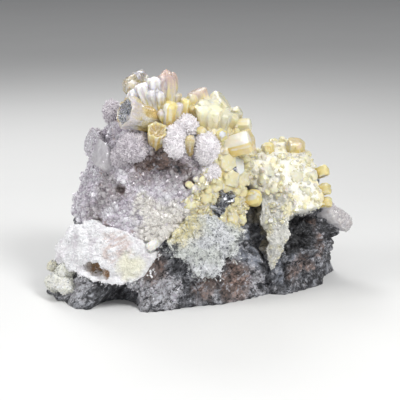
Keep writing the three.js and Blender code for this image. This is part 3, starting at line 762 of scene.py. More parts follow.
# A second patch of it joins the carpet to the ridge below the balls. The shell plate is made in the next
# section, and no points grow under it.
DRUSE_GAP = {
    **DRUSE, "at": (-74, 46), "reaches": (12, 12, 14, 16, 15, 12, 14, 18, 14, 12, 12, 12), "thick": 0.6,
    "grid": (30, 90)}
SHELL_PLATE = {
    "lump": TOWER, "at": (-158, 44), "reaches": (5, 6, 9, 12, 12, 8, 6, 6, 9, 12, 12, 8), "thick": 2.4,
    "rim": 2.4, "ragged": 0.0, "grid": (30, 120), "swell": swelling(0.4, 2.4, 131, 0.1, octaves=2)}

DRUSE_SKIN, start = new_material("druse_skin")
skin_colour = start.layers(
    (0.66, 0.62, 0.68),
    (start.cloud(3.5, 4.0).step(0.50, 0.64), (0.36, 0.28, 0.27)),
    # brown: the pits' stain, and painted shade in the recess under the balls
    (start.value("brown"), (0.13, 0.085, 0.07)))
finish_material(
    start, Base_Color=skin_colour, Roughness=0.3, Normal=start.bump(start.specks(0.4), 0.15))

QUARTZ, start = new_material("lilac_quartz")
# Some crystals turn white, by their number and a cloud: partly milky quartz, partly white painted as glints.
milk_and_glint = start.value("number")
tint = start.cloud(3.0, 4.0, 0.7)
quartz_colour = start.layers(
    (0.66, 0.60, 0.68),
    ((tint * 0.9 + milk_and_glint * 0.35).step(0.42, 0.80), (0.97, 0.96, 1.0)),
    (start.cloud(4.5, 5.0, 0.7).step(0.54, 0.68) * 0.5, (0.50, 0.40, 0.40)),
    (start.value("warm") * 0.8, (0.98, 0.95, 0.88)),
    # brown: stains, and painted shade in the recess under the balls
    (start.value("brown") * 0.9, (0.22, 0.165, 0.155)))
finish_material(
    start, Base_Color=quartz_colour, Roughness=0.06 + 0.3 * milk_and_glint, Transmission_Weight=0.35, IOR=1.55,
    Specular_IOR_Level=0.7)

show(
    "druse_bed", *crust_sheet(DRUSE), DRUSE_SKIN, "quartz", "quartz_druse",
    brown=spotted(BROWN_PITS_AND_RECESS_SHADE, 1.0, 121))
show("druse_gap_bed", *crust_sheet(DRUSE_GAP), DRUSE_SKIN, "quartz", brown=0.3)

DRUSE_POINTS = 8000
GAP_POINTS = 700
DUST_POINTS = 24000
DUST_FROM = 0.4        # the lowest that dust lies above the ground
rng = np.random.default_rng(11)
roots, out, way = joined(scatter(DRUSE, DRUSE_POINTS, rng, 0.99), scatter(DRUSE_GAP, GAP_POINTS, rng, 0.99))
bare = np.ones(len(way), bool)
for other, rim in ((WHITE_CRUST, 0.96), (GRANULAR_CRUST, 0.90), (SHELL_PLATE, 1.02)):
    bare &= inside(way, other["at"], other["reaches"]) > rim
roots, out = roots[bare], out[bare]
size = rng.uniform(0.26, 0.58, len(roots)) + 0.8 * rng.uniform(0, 1, len(roots)) ** 10
points, faces, number = small_crystals(
    POINTED, roots - 0.25 * out, bristle(out, rng, 0.6), size,
    0.2 + size * rng.uniform(0.5, 1.1, len(roots)), rng)
show(
    "druse_points", points, faces, QUARTZ, "quartz", smooth=False, number=number,
    warm=spotted(WARM_PATCH, 3.0, 127),
    brown=np.maximum(spots(points, BROWN_PITS_AND_RECESS_SHADE, 1.4, 123), 0.5 * spots(points, BROWN_TINGE, 3.0, 125)))

way = unit(rng.normal(0, 1, (DUST_POINTS, 3)))
roots = rock_skin(TOWER, way)[0]
dusty = (roots[:, 2] > DUST_FROM) & (DUST_PATCHES(roots) > 0.4)
roots, out = roots[dusty], normals(roots[dusty], TOWER)
size = rng.uniform(0.14, 0.4, len(roots))
points, faces, number = small_crystals(
    SHARD, roots - 0.1 * out, bristle(out, rng, 0.7), size, 0.1 + size, rng)
show("dust", points, faces, QUARTZ, "quartz", smooth=False, number=number, brown=0.0)

# ---------------------------------------------------------------- shell plate
# A smooth thin plate of quartz, cast over something that has since dissolved. It stands proud of the druse
# with a crisp curved edge and lets light through.

SHELL, start = new_material("glassy_shell")
ripple = start.cloud(1.2, 3.0)
milky = start.cloud(1.4, 5.0, 0.7).step(0.4, 0.65)
finish_material(
    start, Base_Color=start.mix(milky, (0.72, 0.69, 0.73), (0.97, 0.96, 0.98)), Roughness=0.05 + 0.2 * ripple,
    Transmission_Weight=0.45, IOR=1.54, Normal=start.bump(ripple, 0.25))
show("shell_plate_sheet", *crust_sheet(SHELL_PLATE), SHELL, "shell_quartz", "shell_plate")

SHELL_POINTS = 900     # they cover the side of the plate that merges into the druse, and some of its rim
roots, out, way = scatter(SHELL_PLATE, SHELL_POINTS, rng, 1.0)
far = inside(way, SHELL_PLATE["at"], SHELL_PLATE["reaches"])
merged = (way @ facing(*SHELL_PLATE["at"])[2] < -0.02) | (far > 0.9) & (rng.uniform(0, 1, len(far)) < 0.4)
roots, out = roots[merged], out[merged]
size = rng.uniform(0.2, 0.5, len(roots))
points, faces, number = small_crystals(
    SHARD, roots - 0.2 * out, bristle(out, rng, 0.6), size, 0.2 + 0.7 * size, rng)
show("shell_points", points, faces, QUARTZ, "quartz", smooth=False, number=number)

# ---------------------------------------------------------------- druse balls
# Quartz grew outwards from a few spots into balls of needles: three along the front edge, and two knobs
# behind. Each ball is a skin with needles all over it, finer and whiter than the carpet's points.

# A ball is its seat (azimuth, elevation), how far its middle is lifted off the rock, and its three radii.
BALLS = {
    "quartz_ball_left": [((-126, 52), 1.2, (3.1, 3.0, 3.0)), ((-136, 47), 0.6, (2.2, 2.2, 2.4))],
    "quartz_ball_middle": [((-76, 64), 0.2, (2.4, 2.4, 2.4)), ((-88, 58), 1.2, (2.5, 2.8, 3.4))],
    "quartz_ball_right": [((-60, 54), 1.6, (2.7, 2.8, 3.4)), ((-56, 45), 0.6, (2.2, 2.0, 2.2))],
    "quartz_knob_back_upper": [((-173, 61), 0.6, (2.0, 2.2, 2.6))],
    "quartz_knob_back_lower": [((-173, 48), 1.0, (1.8, 2.0, 2.2))],
}
BALL_GRID = (18, 30)
CREVICE = [((-1.6, -11.2, 29.2), 1.1), ((-1.7, -10.8, 27.4), 0.9), ((-1.6, -9.8, 31.4), 1.2)]

NEEDLE_QUARTZ, start = new_material("needle_quartz")
milk_and_glint = start.value("number")
needle_colour = start.layers(
    (0.62, 0.57, 0.62),
    ((milk_and_glint * 0.5 + start.value("white")).step(0.0, 1.0), (1.0, 0.965, 0.99)),
    (start.value("brown") * 0.9, (0.20, 0.15, 0.10)))
finish_material(
    start, Base_Color=needle_colour, Roughness=0.10 + 0.3 * milk_and_glint, Transmission_Weight=0.2, IOR=1.55,
    Normal=start.bump(start.specks(0.3), 0.05))


def seat(lump, azimuth, elevation, lift=0.0):
    """The point of the rock's surface in a direction from the lump's heart, raised along it."""
    way = aim(float(azimuth), float(elevation))
    return surface(lump, way[None])[0] + lift * way


def weld(meshes):
    """Several meshes of points and faces as one, each mesh's faces counted on from the points before it."""
    starts = np.cumsum([0, *(len(points) for points, _ in meshes)])
    faces = [face + start for (_, found), start in zip(meshes, starts) for face in found]
    return np.concatenate([points for points, _ in meshes]), faces


DRAWN_IN = 0.7         # a ball's skin lies this share of a needle's length inside the ball
BALL_SKIN = 0.76       # a skin's least share of its radii
NEEDLE_SEAT = 0.72     # the same for the needles' roots, a little deeper
BALL_LUMP = 0.48       # how much more noise adds to either


def ball_surface(middle, radii, way, share):
    """An ellipsoid's points along ways from its middle, at a share of its radii and more by noise."""
    return middle + way * radii * (share + BALL_LUMP * fractal(way * 3 + middle, 1.5, 141))[:, None]


def ball(name, specs, material, slot, *nodes, needle, thickness, per_mm2, **values):
    """Balls with needles all over them. A ball is a lumpy ellipsoid drawn in by the needles' length; so many
    needles to a square millimetre are strewn over it and point outwards."""
    skins, needles, numbers = [], [], []
    for at, lift, radii in specs:
        middle = seat(TOWER, *at, lift)
        inner = np.array(radii) - needle * DRAWN_IN
        skin = ball_surface(middle, inner, lump_directions(*BALL_GRID), BALL_SKIN)
        skins.append((skin, closed_faces(*BALL_GRID)))
        count = int(4 * np.pi * np.prod(inner) ** (2 / 3) * per_mm2)
        way = unit(ball_rng.normal(0, 1, (count, 3)))
        roots = ball_surface(middle, inner, way, NEEDLE_SEAT)
        length = needle * ball_rng.uniform(0.8, 1.4, count)
        width = thickness * ball_rng.uniform(0.6, 1.5, count)
        axes = bristle(unit(way / inner), ball_rng, 0.25)
        *mesh, number = small_crystals(SHARD, roots, axes, width, length, ball_rng)
        needles.append(mesh)
        numbers.append(number)
    values = {"brown": spotted(CREVICE, 0.5, 145), **values}
    show(
        name + "_skin", *weld(skins), material, slot, *nodes, number=lambda points: noise(points, 0.6, 143),
        **values)
    show(
        name + "_needles", *weld(needles), material, slot, smooth=False, number=np.concatenate(numbers),
        **values)


ball_rng = np.random.default_rng(13)
for node, specs in BALLS.items():
    white = 0.75 if node in ("quartz_ball_middle", "quartz_ball_right") else 0.1
    ball(
        node, specs, NEEDLE_QUARTZ, "quartz", node, needle=0.55, thickness=0.42, per_mm2=9.0, white=white)

# ---------------------------------------------------------------- cream nodules
# Four round nodules of fine cream grains hang together at the foot of the left end.

CREAM_NODULES = [
    ((-159, -23), 0.2, (2.2, 2.2, 2.2)), ((-164, -24), 0.2, (1.9, 1.9, 1.9)),
    ((-154, -24), 0.2, (2.0, 2.0, 2.0)), ((-158, -19), 0.1, (2.0, 1.9, 1.9))]
ball(
    "cream_nodule", CREAM_NODULES, GRANULAR, "cream_crust", "cream_nodules", needle=0.35, thickness=0.38,
    per_mm2=7.0, yellow=0.25, dark=0.0)

# ---------------------------------------------------------------- galena
# Lead-grey cubes half sunk in the crust below the ridge. Galena cleaves in steps, so its faces are
# terraced and flash like metal.

# A cube is its seat, its size and its turns about X, Y and Z, in radians.
GALENA_CUBES = {
    "galena_upper": [((-44, 29), 3.3, (0.3, 0.5, 0.6)), ((-39, 26), 2.4, (0.9, 0.2, 0.2))],
    "galena_lower": [((-49, 20), 3.0, (0.7, 0.3, 1.1))],
}
CUBE_GRID = (38, 64)
TERRACE = 0.26         # the height of one cleavage step
MOST_STEPS = 3
ON_FACE = 0.47         # a point this share of the size from the middle lies on a face

GALENA, start = new_material("galena_metal")
tarnish = start.cloud(0.9, 4.0).step(0.4, 0.65)
finish_material(
    start, Base_Color=start.mix(tarnish, (0.16, 0.165, 0.18), (0.48, 0.49, 0.52)), Metallic=0.85,
    Roughness=0.16 + 0.3 * tarnish, Normal=start.bump(start.cloud(0.5, 2.0), 0.05))


def turn(angles):
    """Rotation matrix for turns about X, then Y, then Z."""
    (cx, cy, cz), (sx, sy, sz) = np.cos(angles), np.sin(angles)
    about_x = np.array([[1, 0, 0], [0, cx, -sx], [0, sx, cx]])
    about_y = np.array([[cy, 0, sy], [0, 1, 0], [-sy, 0, cy]])
    about_z = np.array([[cz, -sz, 0], [sz, cz, 0], [0, 0, 1]])
    return about_x @ about_y @ about_z


def stepped_cube(size, salt):
    """A cube on a ring grid: directions pushed out to its flat faces, and those faces set inwards by whole
    steps where noise says."""
    way = lump_directions(*CUBE_GRID)
    flat = way / np.abs(way).max(-1, keepdims=True) * size / 2
    steps = np.floor(fractal(flat, size * 0.45, salt, 2) * 7) - 2
    on_face = np.abs(flat) > size * ON_FACE
    return flat - np.sign(flat) * on_face * (TERRACE * np.clip(steps, 0, MOST_STEPS))[:, None]


STANDING = []          # foot, tip and half width of everything large, so that small crystals keep off it

for node, specs in GALENA_CUBES.items():
    cubes = []
    for i, (at, size, angles) in enumerate(specs):
        cube = stepped_cube(size, 151 + i) @ turn(angles).T + seat(TOWER, *at)
        cubes.append((cube, closed_faces(*CUBE_GRID)))
        STANDING.append((seat(TOWER, *at), seat(TOWER, *at, 2.0), size * 0.7))
    show(node + "_cubes", *weld(cubes), GALENA, "galena", node, smooth=False)

# ---------------------------------------------------------------- mimetite
# Six-sided lead arsenate crystals, honey yellow at the foot, paler or lilac where quartz has frosted the tip.
# They grew out of the rock one against another, so each is rooted below the surface.

ROOT = 2.5             # how far a crystal's foot is carried into the rock
CORNERS = 6
CRISP = 60.0           # how sharp a crystal's long edges are
STEP_HEIGHT = 0.32     # how far apart the growth steps lie on a crystal's sides
FACET = 1.1            # how wide the tilted planes are that break up its faces
STREAK = 0.34          # how far apart the streaks lie that run along it
# Factors for X, Y and Z that stretch noise: the smaller one is, the longer the noise lies that way.
STEP_STRETCH = (0.35, 0.35, 1.0)
WARP_STRETCH = (0.6, 0.6, 0.35)
FACET_STRETCH = (1, 1, 0.6)
STREAK_STRETCH = (1, 1, 0.12)
STEP_RELIEF = 0.10     # how far the growth steps stand out
GRAIN_RELIEF = 0.04    # how far the grain does on a crystal's sides
TIP_GRAIN = 0.14       # and how much farther on its tip
CREASE = 0.45          # edges of a crystal that turn by more than this, in radians, are sharp
RIBS_RISE = (0.1, 0.5)        # ribs rise from nothing to their full depth between these shares of the length
HOLLOW_ROWS = (0.74, 0.80)    # and a hopper's rows turn into its hollow between these shares of its outline
BITE_SIDE = (0.45, 0.8)       # a bite's edge and its full depth, as cosines of the angle from its middle
BITE_RISE = (0.2, 0.6)        # and as shares of the length
WHITE_EDGE = (0.80, 0.88)     # the same for the edge of a white side
MATE_OFFSET = (0.26, 0.36)    # how far a mate is rooted off the middle, as a share of the width
MATE_LENGTH = (0.6, 0.97)
MATE_WIDTH = (0.32, 0.5)
MATE_GRID = (11, 24)
SHORT_GRID = dict(rows=16, columns=36)
COLUMN_GRID = dict(rows=18, columns=36)
WHOLE = ("frost", "deep", "blush")     # looks that are the same all over a crystal
SHARED = (*WHOLE, "moved", "drop", "dim")   # looks that a crystal's mates have too

# How each kind of tip is shaped, as [height, share of the half width] from the foot up; out is how far the
# crystal stands from the rock and half is its half width.
OUTLINES = {
    "flat": lambda out, half: [
        (-ROOT, 0.8), (0, 0.9), (out - 0.35, 1.0), (out - 0.03, 0.88), (out, 0.6), (out - 0.05, 0.0)],
    "blunt": lambda out, half: [
        (-ROOT, 0.7), (0, 0.85), (out - half * 0.8, 1.0), (out - half * 0.3, 0.80), (out, 0.42),
        (out + 0.05, 0.0)],
    "peak": lambda out, half: [
        (-ROOT, 0.5), (0, 0.66), (out * 0.45, 0.9), (out - half * 1.3, 0.95), (out - half * 0.6, 0.66),
        (out, 0.16), (out + 0.05, 0.0)],
    "club": lambda out, half: [
        (-ROOT, 0.3), (0, 0.42), (out * 0.45, 0.72), (out - half * 0.9, 1.02), (out - half * 0.3, 0.86),
        (out, 0.42), (out + 0.05, 0.0)],
    "barrel": lambda out, half: [
        (-ROOT, 0.7), (0, 0.95), (out * 0.5, 1.1), (out - 0.35, 0.95), (out, 0.62), (out + 0.03, 0.0)],
    "hopper": lambda out, half: [
        (-ROOT, 0.75), (0, 0.9), (out - 0.3, 1.0), (out, 0.96), (out - 0.1, 0.86), (out - 0.6, 0.70),
        (out - 1.2, 0.35), (out - 1.4, 0.0)],
}


def outline(corners, half, rows):
    """Rows evenly spaced along an outline of [height, share] corners, as [height, radius], once eased."""
    corners = np.array(corners, float) * [1, half]
    run = np.concatenate([[0], np.cumsum(np.linalg.norm(np.diff(corners, axis=0), axis=1))])
    steps = np.linspace(0, run[-1], rows)
    line = np.stack([np.interp(steps, run, corners[:, i]) for i in range(2)], axis=-1)
    line[1:-1] = (line[:-2] + 2 * line[1:-1] + line[2:]) / 4
    return line


def crystal(lump, salt, at, lean, out, width, tip, looks, shift=(0.0, 0.0), rows=24, columns=48):
    """One crystal: its outline carried round a six-sided section, with growth steps across its sides, round
    ribs with creases between them where it has any, and a grain on its tip. Gives its points, its faces and
    what its material reads: how far along it, how hollow, how white and how streaked each point is, and how
    frosted, deep in colour and blushed the whole of it."""
    half = width / 2
    line = outline(OUTLINES[tip](out, half), half, rows + 2)
    clock = np.linspace(0, 2 * np.pi, columns, endpoint=False)
    flats = np.arange(CORNERS) / CORNERS * 2 * np.pi + looks.get("roll", 0.0)
    section = (np.clip(np.cos(clock[:, None] - flats), 0, 1) ** CRISP).sum(-1) ** (-1 / CRISP)
    rib = np.zeros(rows * columns + 2)
    if "ribs" in looks:
        rib[1:-1] = np.tile(np.abs(np.cos(clock * looks["ribs"] / 2 + salt)), rows)
    ring = np.stack([np.cos(clock), np.sin(clock), 0 * clock], axis=-1) * section[:, None]
    body = ring[None] * line[1:-1, 1, None, None] + line[1:-1, 0, None, None] * np.array([0, 0, 1.0])
    local = np.concatenate([[[0, 0, line[0, 0]]], body.reshape(-1, 3), [[0, 0, line[-1, 0]]]])
    along = np.clip(local[:, 2] / out, 0, 1)
    local[:, :2] *= (1 - looks.get("rib_depth", 0.0) * (1 - rib) * ramp(along, *RIBS_RISE))[:, None]
    steps = noise(local * STEP_STRETCH + salt, STEP_HEIGHT, salt) - 0.5
    grain = fractal(local + salt, 0.6, salt + 1, 3) - 0.5
    warp = fractal(local * WARP_STRETCH + salt, 1.1, salt + 5, 2) - 0.5
    facet = grains(local * FACET_STRETCH + salt, FACET, salt % 97)[3]
    streak = noise(local * STREAK_STRETCH + salt, STREAK, salt + 9)
    outward = unit(local * [1, 1, 0] + TINY)
    relief = STEP_RELIEF * steps + looks.get("wavy", 0.1) * warp - looks.get("facets", 0.25) * facet
    local = local + outward * relief[:, None]
    rough = grain * (GRAIN_RELIEF + TIP_GRAIN * ramp(along, 0.7, 1.0))
    local = local + (outward + [0, 0, 0.8]) * rough[:, None]
    bearing = np.arctan2(local[:, 1], local[:, 0])
    row = np.concatenate([[0], np.repeat(np.arange(1, rows + 1), columns), [rows + 1]]) / (rows + 1)
    inner = ramp(row, *HOLLOW_ROWS) if tip == "hopper" else 0 * row
    hollow = np.maximum(inner * looks.get("hollow", 1.0), looks.get("dim", 0.0))
    if "bite" in looks:
        angle, depth = looks["bite"]
        bite = ramp(np.cos(bearing - angle), *BITE_SIDE) * ramp(along, *BITE_RISE)
        local[:, :2] *= (1 - depth * bite)[:, None]
        hollow = np.maximum(hollow, bite)
    rib = np.maximum(rib, looks.get("milk_and_glint", 0.0))
    if "white_side" in looks:
        rib = ramp(np.cos(bearing - looks["white_side"]), *WHITE_EDGE)
    local[:, :2] += shift
    axes = frames(unit(np.array([lean], float)), np.array([0.0]))[0]
    foot = seat(lump, *at, -looks.get("drop", 0.0)) + looks.get("moved", (0, 0, 0))
    values = {
        "along": along * (1 - inner), "hollow": hollow, "white": rib * looks.get("pale_ribs", 1.0),
        "streak": streak}
    values.update({key: np.full(len(local), looks.get(key, 0.0)) for key in WHOLE})
    return local @ axes + foot, closed_faces(rows, columns), values


def grow(name, stems, slot, *nodes, lump=TOWER, **grid):
    """One piece of one or more crystals grown through each other, with smaller mates along their sides: each
    mate is a share as long and as wide, rooted a share of the width off the middle."""
    letters = sum(map(ord, name))
    rng = np.random.default_rng(letters)
    parts = []
    for i, (at, lean, out, width, tip, looks) in enumerate(stems):
        salt = 200 + 7 * i + letters % 89
        parts.append(crystal(lump, salt, at, lean, out, width, tip, looks, **grid))
        STANDING.append((seat(lump, *at), seat(lump, *at) + out * unit(np.array(lean, float)), width / 2))
        shared = {key: looks[key] for key in SHARED if key in looks}
        for turned in rng.uniform(0, 2 * np.pi, looks.get("mates", 0)):
            shift = width * rng.uniform(*MATE_OFFSET) * np.array([np.cos(turned), np.sin(turned)])
            length, girth = out * rng.uniform(*MATE_LENGTH), width * rng.uniform(*MATE_WIDTH)
            mate = (length, girth, looks.get("mate_tip", tip), {**shared, "roll": turned})
            parts.append(crystal(lump, salt + 3, at, lean, *mate, shift, *MATE_GRID))
    values = {key: np.concatenate([part[2][key] for part in parts]) for key in parts[0][2]}
    show(name, *weld([part[:2] for part in parts]), MIMETITE, slot, *nodes, crease=CREASE, **values)


MIMETITE, start = new_material("honey_mimetite")
along = start.value("along")
deep = start.value("deep")
streak = start.value("streak")
veil = start.cloud(0.9, 5.0, 0.65)
grain = start.cloud(0.22, 3.0, 0.6)
tipward = (along + (veil - 0.5) * 0.8 + (streak - 0.5) * 0.4).step(0.40, 0.85) * start.value("frost")
footward = (along + (veil - 0.5) * 0.4).step(0.70, 0.05)
speckled = start.mix(grain.step(0.42, 0.60), (0.05, 0.05, 0.055), (0.60, 0.61, 0.66))
honey = start.layers(
    (1.0, 0.95, 0.70),
    (deep, (0.94, 0.77, 0.33)),
    (footward * (0.10 + deep * 0.9), (0.78, 0.56, 0.14)),
    ((veil * 0.5 + streak * 0.5).step(0.50, 0.68) * 0.6, (1.0, 0.98, 0.90)),
    (tipward, (0.78, 0.72, 0.74)),
    # white: pale ribs and milky crystals, with painted highlights on the big prism's lit side and the ring
    # bead's heart
    (start.value("white").step(0.45, 0.95) * 0.75, (1.0, 0.99, 0.97)),
    (start.value("blush") * (along + veil * 0.8 + streak * 0.3).step(0.95, 1.5), (0.66, 0.47, 0.43)),
    (start.value("hollow"), speckled))
finish_material(
    start, Base_Color=honey, Roughness=0.05 + 0.30 * veil * streak + 0.10 * tipward, IOR=1.9,
    Transmission_Weight=0.14, Subsurface_Weight=0.5, Subsurface_Scale=0.0012,
    Subsurface_Radius=(1.0, 0.8, 0.4), Normal=start.bump(grain + streak * 0.7, 0.06))

# A stem is its seat, its lean, how far it stands out, its width, its tip, and its looks. The looks: frost is
# how white its tip is, deep how golden it is, dim how dark, blush how brown its tip is, milk_and_glint how
# white all of it is (milky, but on the ring bead's heart a painted glint), white_side the bearing of its one
# white side, partly a painted highlight on the big prism; wavy, facets, ribs and rib_depth are its relief,
# bite a bearing and a depth, and roll, moved and drop its place.
# The big prism's white side is its frosted upper facet, painted whiter still as a highlight where the light
# falls on it.
grow("mimetite_big", [
    ((-33, 54), (1, -0.36, 0.34), 5.7, 4.5, "flat", dict(
        frost=0.2, deep=1.0, roll=0.52, wavy=0.06, facets=0.12, white_side=2.62))],
    "mimetite", "mimetite_big_prism")
grow("mimetite_flat_top", [
    ((-8, 59), (1, -0.25, 0.06), 4.4, 2.7, "flat", dict(
        frost=0.2, deep=0.2, roll=0.3, facets=0.15, moved=(-0.9, -0.8, 0.2)))],
    "mimetite", "mimetite_flat_top_prism")
grow("mimetite_chipped", [
    ((-23, 44), (0.45, -0.9, 0.2), 2.6, 3.8, "flat", dict(
        frost=0.4, deep=0.4, milk_and_glint=0.85, bite=(3.9, 0.5), mates=2, moved=(-0.7, -0.5, 0)))],
    "mimetite_pale", "mimetite_chipped_prism")
grow("mimetite_small", [
    ((-96, 66), (0.12, -0.4, 1), 4.6, 2.4, "flat", dict(frost=0.0, deep=1.3, facets=0.3, white_side=-1.0)),
    ((-101, 66), (-0.12, -0.45, 1), 3.2, 1.6, "blunt", dict(frost=0.8, deep=1.0, mates=2)),
    ((-86, 68), (0.16, -0.3, 1), 3.4, 1.5, "flat", dict(frost=1.0, deep=0.3, facets=0.2)),
    ((-78, 69), (0.2, -0.3, 1), 3.6, 1.5, "flat", dict(frost=0.0, deep=1.2, facets=0.2))],
    "mimetite", "mimetite_small_prism")
grow("mimetite_hollow", [
    ((-119, 67), (-0.76, -0.55, 0.3), 6.1, 5.2, "hopper", dict(
        frost=0.9, deep=1.7, dim=0.28, mates=4, mate_tip="flat", facets=0.9, wavy=0.5))],
    "mimetite_pale", "mimetite_hollow_prism")
grow("mimetite_ribbed_barrel", [
    ((-107, 61), (0.1, -0.7, 0.7), 2.7, 3.7, "hopper", dict(
        frost=0.0, deep=2.0, dim=0.12, ribs=9, rib_depth=0.1, pale_ribs=0.7, hollow=0.35,
        moved=(-0.2, -0.4, -0.2)))],
    "mimetite", "mimetite_barrel")
SPRAY = [
    ((-101, 72), (0.01, -0.12, 1), 8.4, 3.9, "peak", dict(
        frost=0.5, deep=0.9, blush=0.9, ribs=9, facets=0.5, mates=7, mate_tip="blunt")),
    ((-111, 71), (-0.1, -0.16, 1), 6.9, 3.3, "flat", dict(frost=0.9, deep=0.6, ribs=7, mates=5)),
    ((-119, 69), (-0.32, -0.2, 1), 6.3, 2.9, "flat", dict(frost=1.0, deep=0.6, ribs=7, mates=4)),
    ((-126, 68), (-0.56, -0.2, 1), 5.5, 2.8, "club", dict(frost=1.0, deep=0.7, ribs=7, mates=4)),
    ((-113, 70), (-0.2, -0.35, 1), 5.4, 2.4, "club", dict(frost=0.9, deep=0.7, ribs=7, mates=3)),
    ((-107, 70), (-0.02, -0.32, 1), 5.2, 2.2, "club", dict(frost=0.9, deep=0.8, ribs=7, mates=2)),
    ((-93, 73), (0.2, -0.15, 1), 3.8, 2.6, "flat", dict(frost=0.6, deep=0.9, mates=4)),
]
grow("mimetite_fan", [
    (*stem, {"rib_depth": 0.12, **looks}) for *stem, looks in SPRAY],
    "mimetite", "mimetite_spray")
grow("mimetite_knobs", [
    ((168, 74), (-0.62, -0.1, 1), 4.4, 3.0, "barrel", dict(
        frost=0.4, deep=1.2, dim=0.5, facets=1.2, mates=6)),
    ((150, 75), (-0.34, -0.1, 1), 5.0, 2.8, "flat", dict(
        frost=1.0, deep=0.5, dim=0.5, facets=1.2, mates=6)),
    ((178, 73), (-0.3, -0.5, 1), 3.4, 2.4, "barrel", dict(
        frost=0.5, deep=0.7, dim=0.3, facets=1.2, mates=4))],
    "mimetite_pale", "mimetite_twin_knobs")
grow("mimetite_olive", [
    ((-77, 58), (0.02, -0.7, 1), 3.0, 1.9, "blunt", dict(
        frost=0.0, deep=1.8, dim=0.4, moved=(0.6, -0.9, -0.4)))],
    "mimetite_olive", "mimetite_olive_prism")
grow("mimetite_glassy_knob", [
    ((-12, 20), (0.95, -0.4, 0.1), 3.2, 2.9, "barrel", dict(frost=0.0, deep=1.0, mates=1))],
    "mimetite", "mimetite_clear_knob")
grow("mimetite_crest_beads", [
    ((-71, 75), (-0.05, -0.25, 1), 2.0, 2.4, "blunt", dict(frost=0.3, deep=0.9, mates=3)),
    ((-55, 76), (0.1, -0.15, 1), 2.4, 2.3, "blunt", dict(frost=0.4, deep=0.8, mates=3))],
    "mimetite", "mimetite_crest_bits")
grow("mimetite_crest", [
    ((-32, 75), (-0.4, -0.05, 1), 3.3, 3.6, "flat", dict(frost=0.4, deep=0.5, blush=0.6, wavy=0.3, mates=2)),
    ((-28, 70), (0.75, -0.1, 0.62), 2.9, 4.4, "flat", dict(frost=0.1, deep=0.2, facets=0.5, mates=2)),
    ((-44, 69), (0.1, -0.5, 1), 2.0, 3.6, "flat", dict(frost=0.2, deep=0.5, facets=0.7, mates=3)),
    ((-30, 73), (0.05, -0.1, 1), 1.8, 3.2, "blunt", dict(frost=0.1, deep=0.4, facets=0.7, mates=3))],
    "mimetite", "mimetite_ridge_crest")
grow("mimetite_front", [
    ((-48, 63), (0.1, -0.45, 1), 3.3, 3.6, "flat", dict(frost=0.0, deep=0.15, facets=0.5, mates=3)),
    ((-37, 62), (0.25, -0.4, 1), 3.1, 3.4, "flat", dict(frost=0.0, deep=0.15, facets=0.5, mates=3))],
    "mimetite", "mimetite_ridge_front")
RIDGE = {
    "spur": ((-12, 63), (0.85, -0.1, 0.55), 3.0, 2.1, 0.2),
    "face": ((-48, 58), (0.3, -0.9, 0.4), 1.8, 3.4, 0.8),
    "shoulder": ((-37, 48), (0.5, -0.85, 0.2), 1.8, 3.6, 0.5),
    "knee": ((-34, 39), (0.4, -0.9, 0.1), 1.8, 3.2, 0.6),
    "heel": ((-21, 36), (0.8, -0.6, 0.1), 1.8, 3.2, 0.5),
    "toe": ((-50, 38), (0.2, -1, 0.1), 1.2, 2.8, 0.7),
}
for part, (*stem, deep) in RIDGE.items():
    looks = dict(frost=0.1, deep=deep, facets=0.7, mates=4)
    grow(f"mimetite_{part}", [(*stem, "flat", looks)], "mimetite", f"mimetite_ridge_{part}")

# Columns of the ridge that stand half sunk between its larger crystals, and a golden bead whose white heart
# is a painted glint.
COLUMNS = [
    ((-57, 64), (0.0, -0.4, 1), 3.0, 2.8, 0.4), ((-51, 68), (0.0, -0.35, 1), 2.2, 2.6, 0.3),
    ((-41, 67), (0.15, -0.3, 1), 2.4, 2.8, 0.3), ((-21, 61), (0.5, -0.35, 0.9), 2.6, 2.6, 0.4),
    ((-58, 68), (-0.1, -0.4, 1), 1.8, 1.9, 0.9), ((-61, 60), (-0.1, -0.7, 1), 1.8, 1.9, 1.4),
    ((-56, 58), (0.0, -0.8, 0.9), 1.6, 1.7, 1.4), ((-49, 57), (0.1, -0.9, 0.8), 1.4, 1.8, 1.2),
    ((-28, 57), (0.5, -0.7, 0.5), 1.5, 2.2, 0.5), ((-18, 66), (0.4, -0.3, 1), 1.6, 2.2, 0.4),
]
grow("mimetite_columns", [
    (*stem, "flat", dict(frost=0.1, deep=deep, facets=0.3, ribs=5, rib_depth=0.06, pale_ribs=0.5, mates=2))
    for *stem, deep in COLUMNS], "mimetite", **COLUMN_GRID)
RING_MOVED = (0.3, -2.2, 0.7)
grow("mimetite_ring_bead", [
    ((-40, 58), (0.1, -1, 0.4), 2.2, 2.2, "blunt", dict(frost=0.0, deep=1.6, facets=0.3, moved=RING_MOVED)),
    ((-40, 58), (0.1, -1, 0.4), 2.5, 1.3, "blunt", dict(frost=0.0, deep=0.0, milk_and_glint=1.0, moved=RING_MOVED))],
    "mimetite")
NODULES = [
    ((-60, 31), (0, -1, 0.2), 1.4, 2.4), ((-75, 27), (0, -1, 0.2), 1.2, 2.2),
    ((-33, 23), (0.6, -0.8, 0.2), 1.5, 2.3), ((-20, 27), (0.8, -0.6, 0.2), 1.5, 2.3),
    ((-37, 11), (0.6, -0.8, 0.2), 1.5, 2.6), ((-27, 7), (0.7, -0.7, 0.2), 1.4, 2.2),
    ((-47, 11), (0.4, -0.9, 0.2), 1.5, 2.3),
]
for i, stem in enumerate(NODULES, 1):
    looks = dict(frost=0.1, deep=0.7, wavy=0.8, mates=3)
    grow(f"mimetite_bead_{i}", [(*stem, "barrel", looks)], "mimetite", f"mimetite_nodule_{i}", **SHORT_GRID)
FOOT_KNOB = [((-171, -19), 0.5, (1.25, 1.2, 1.3))]
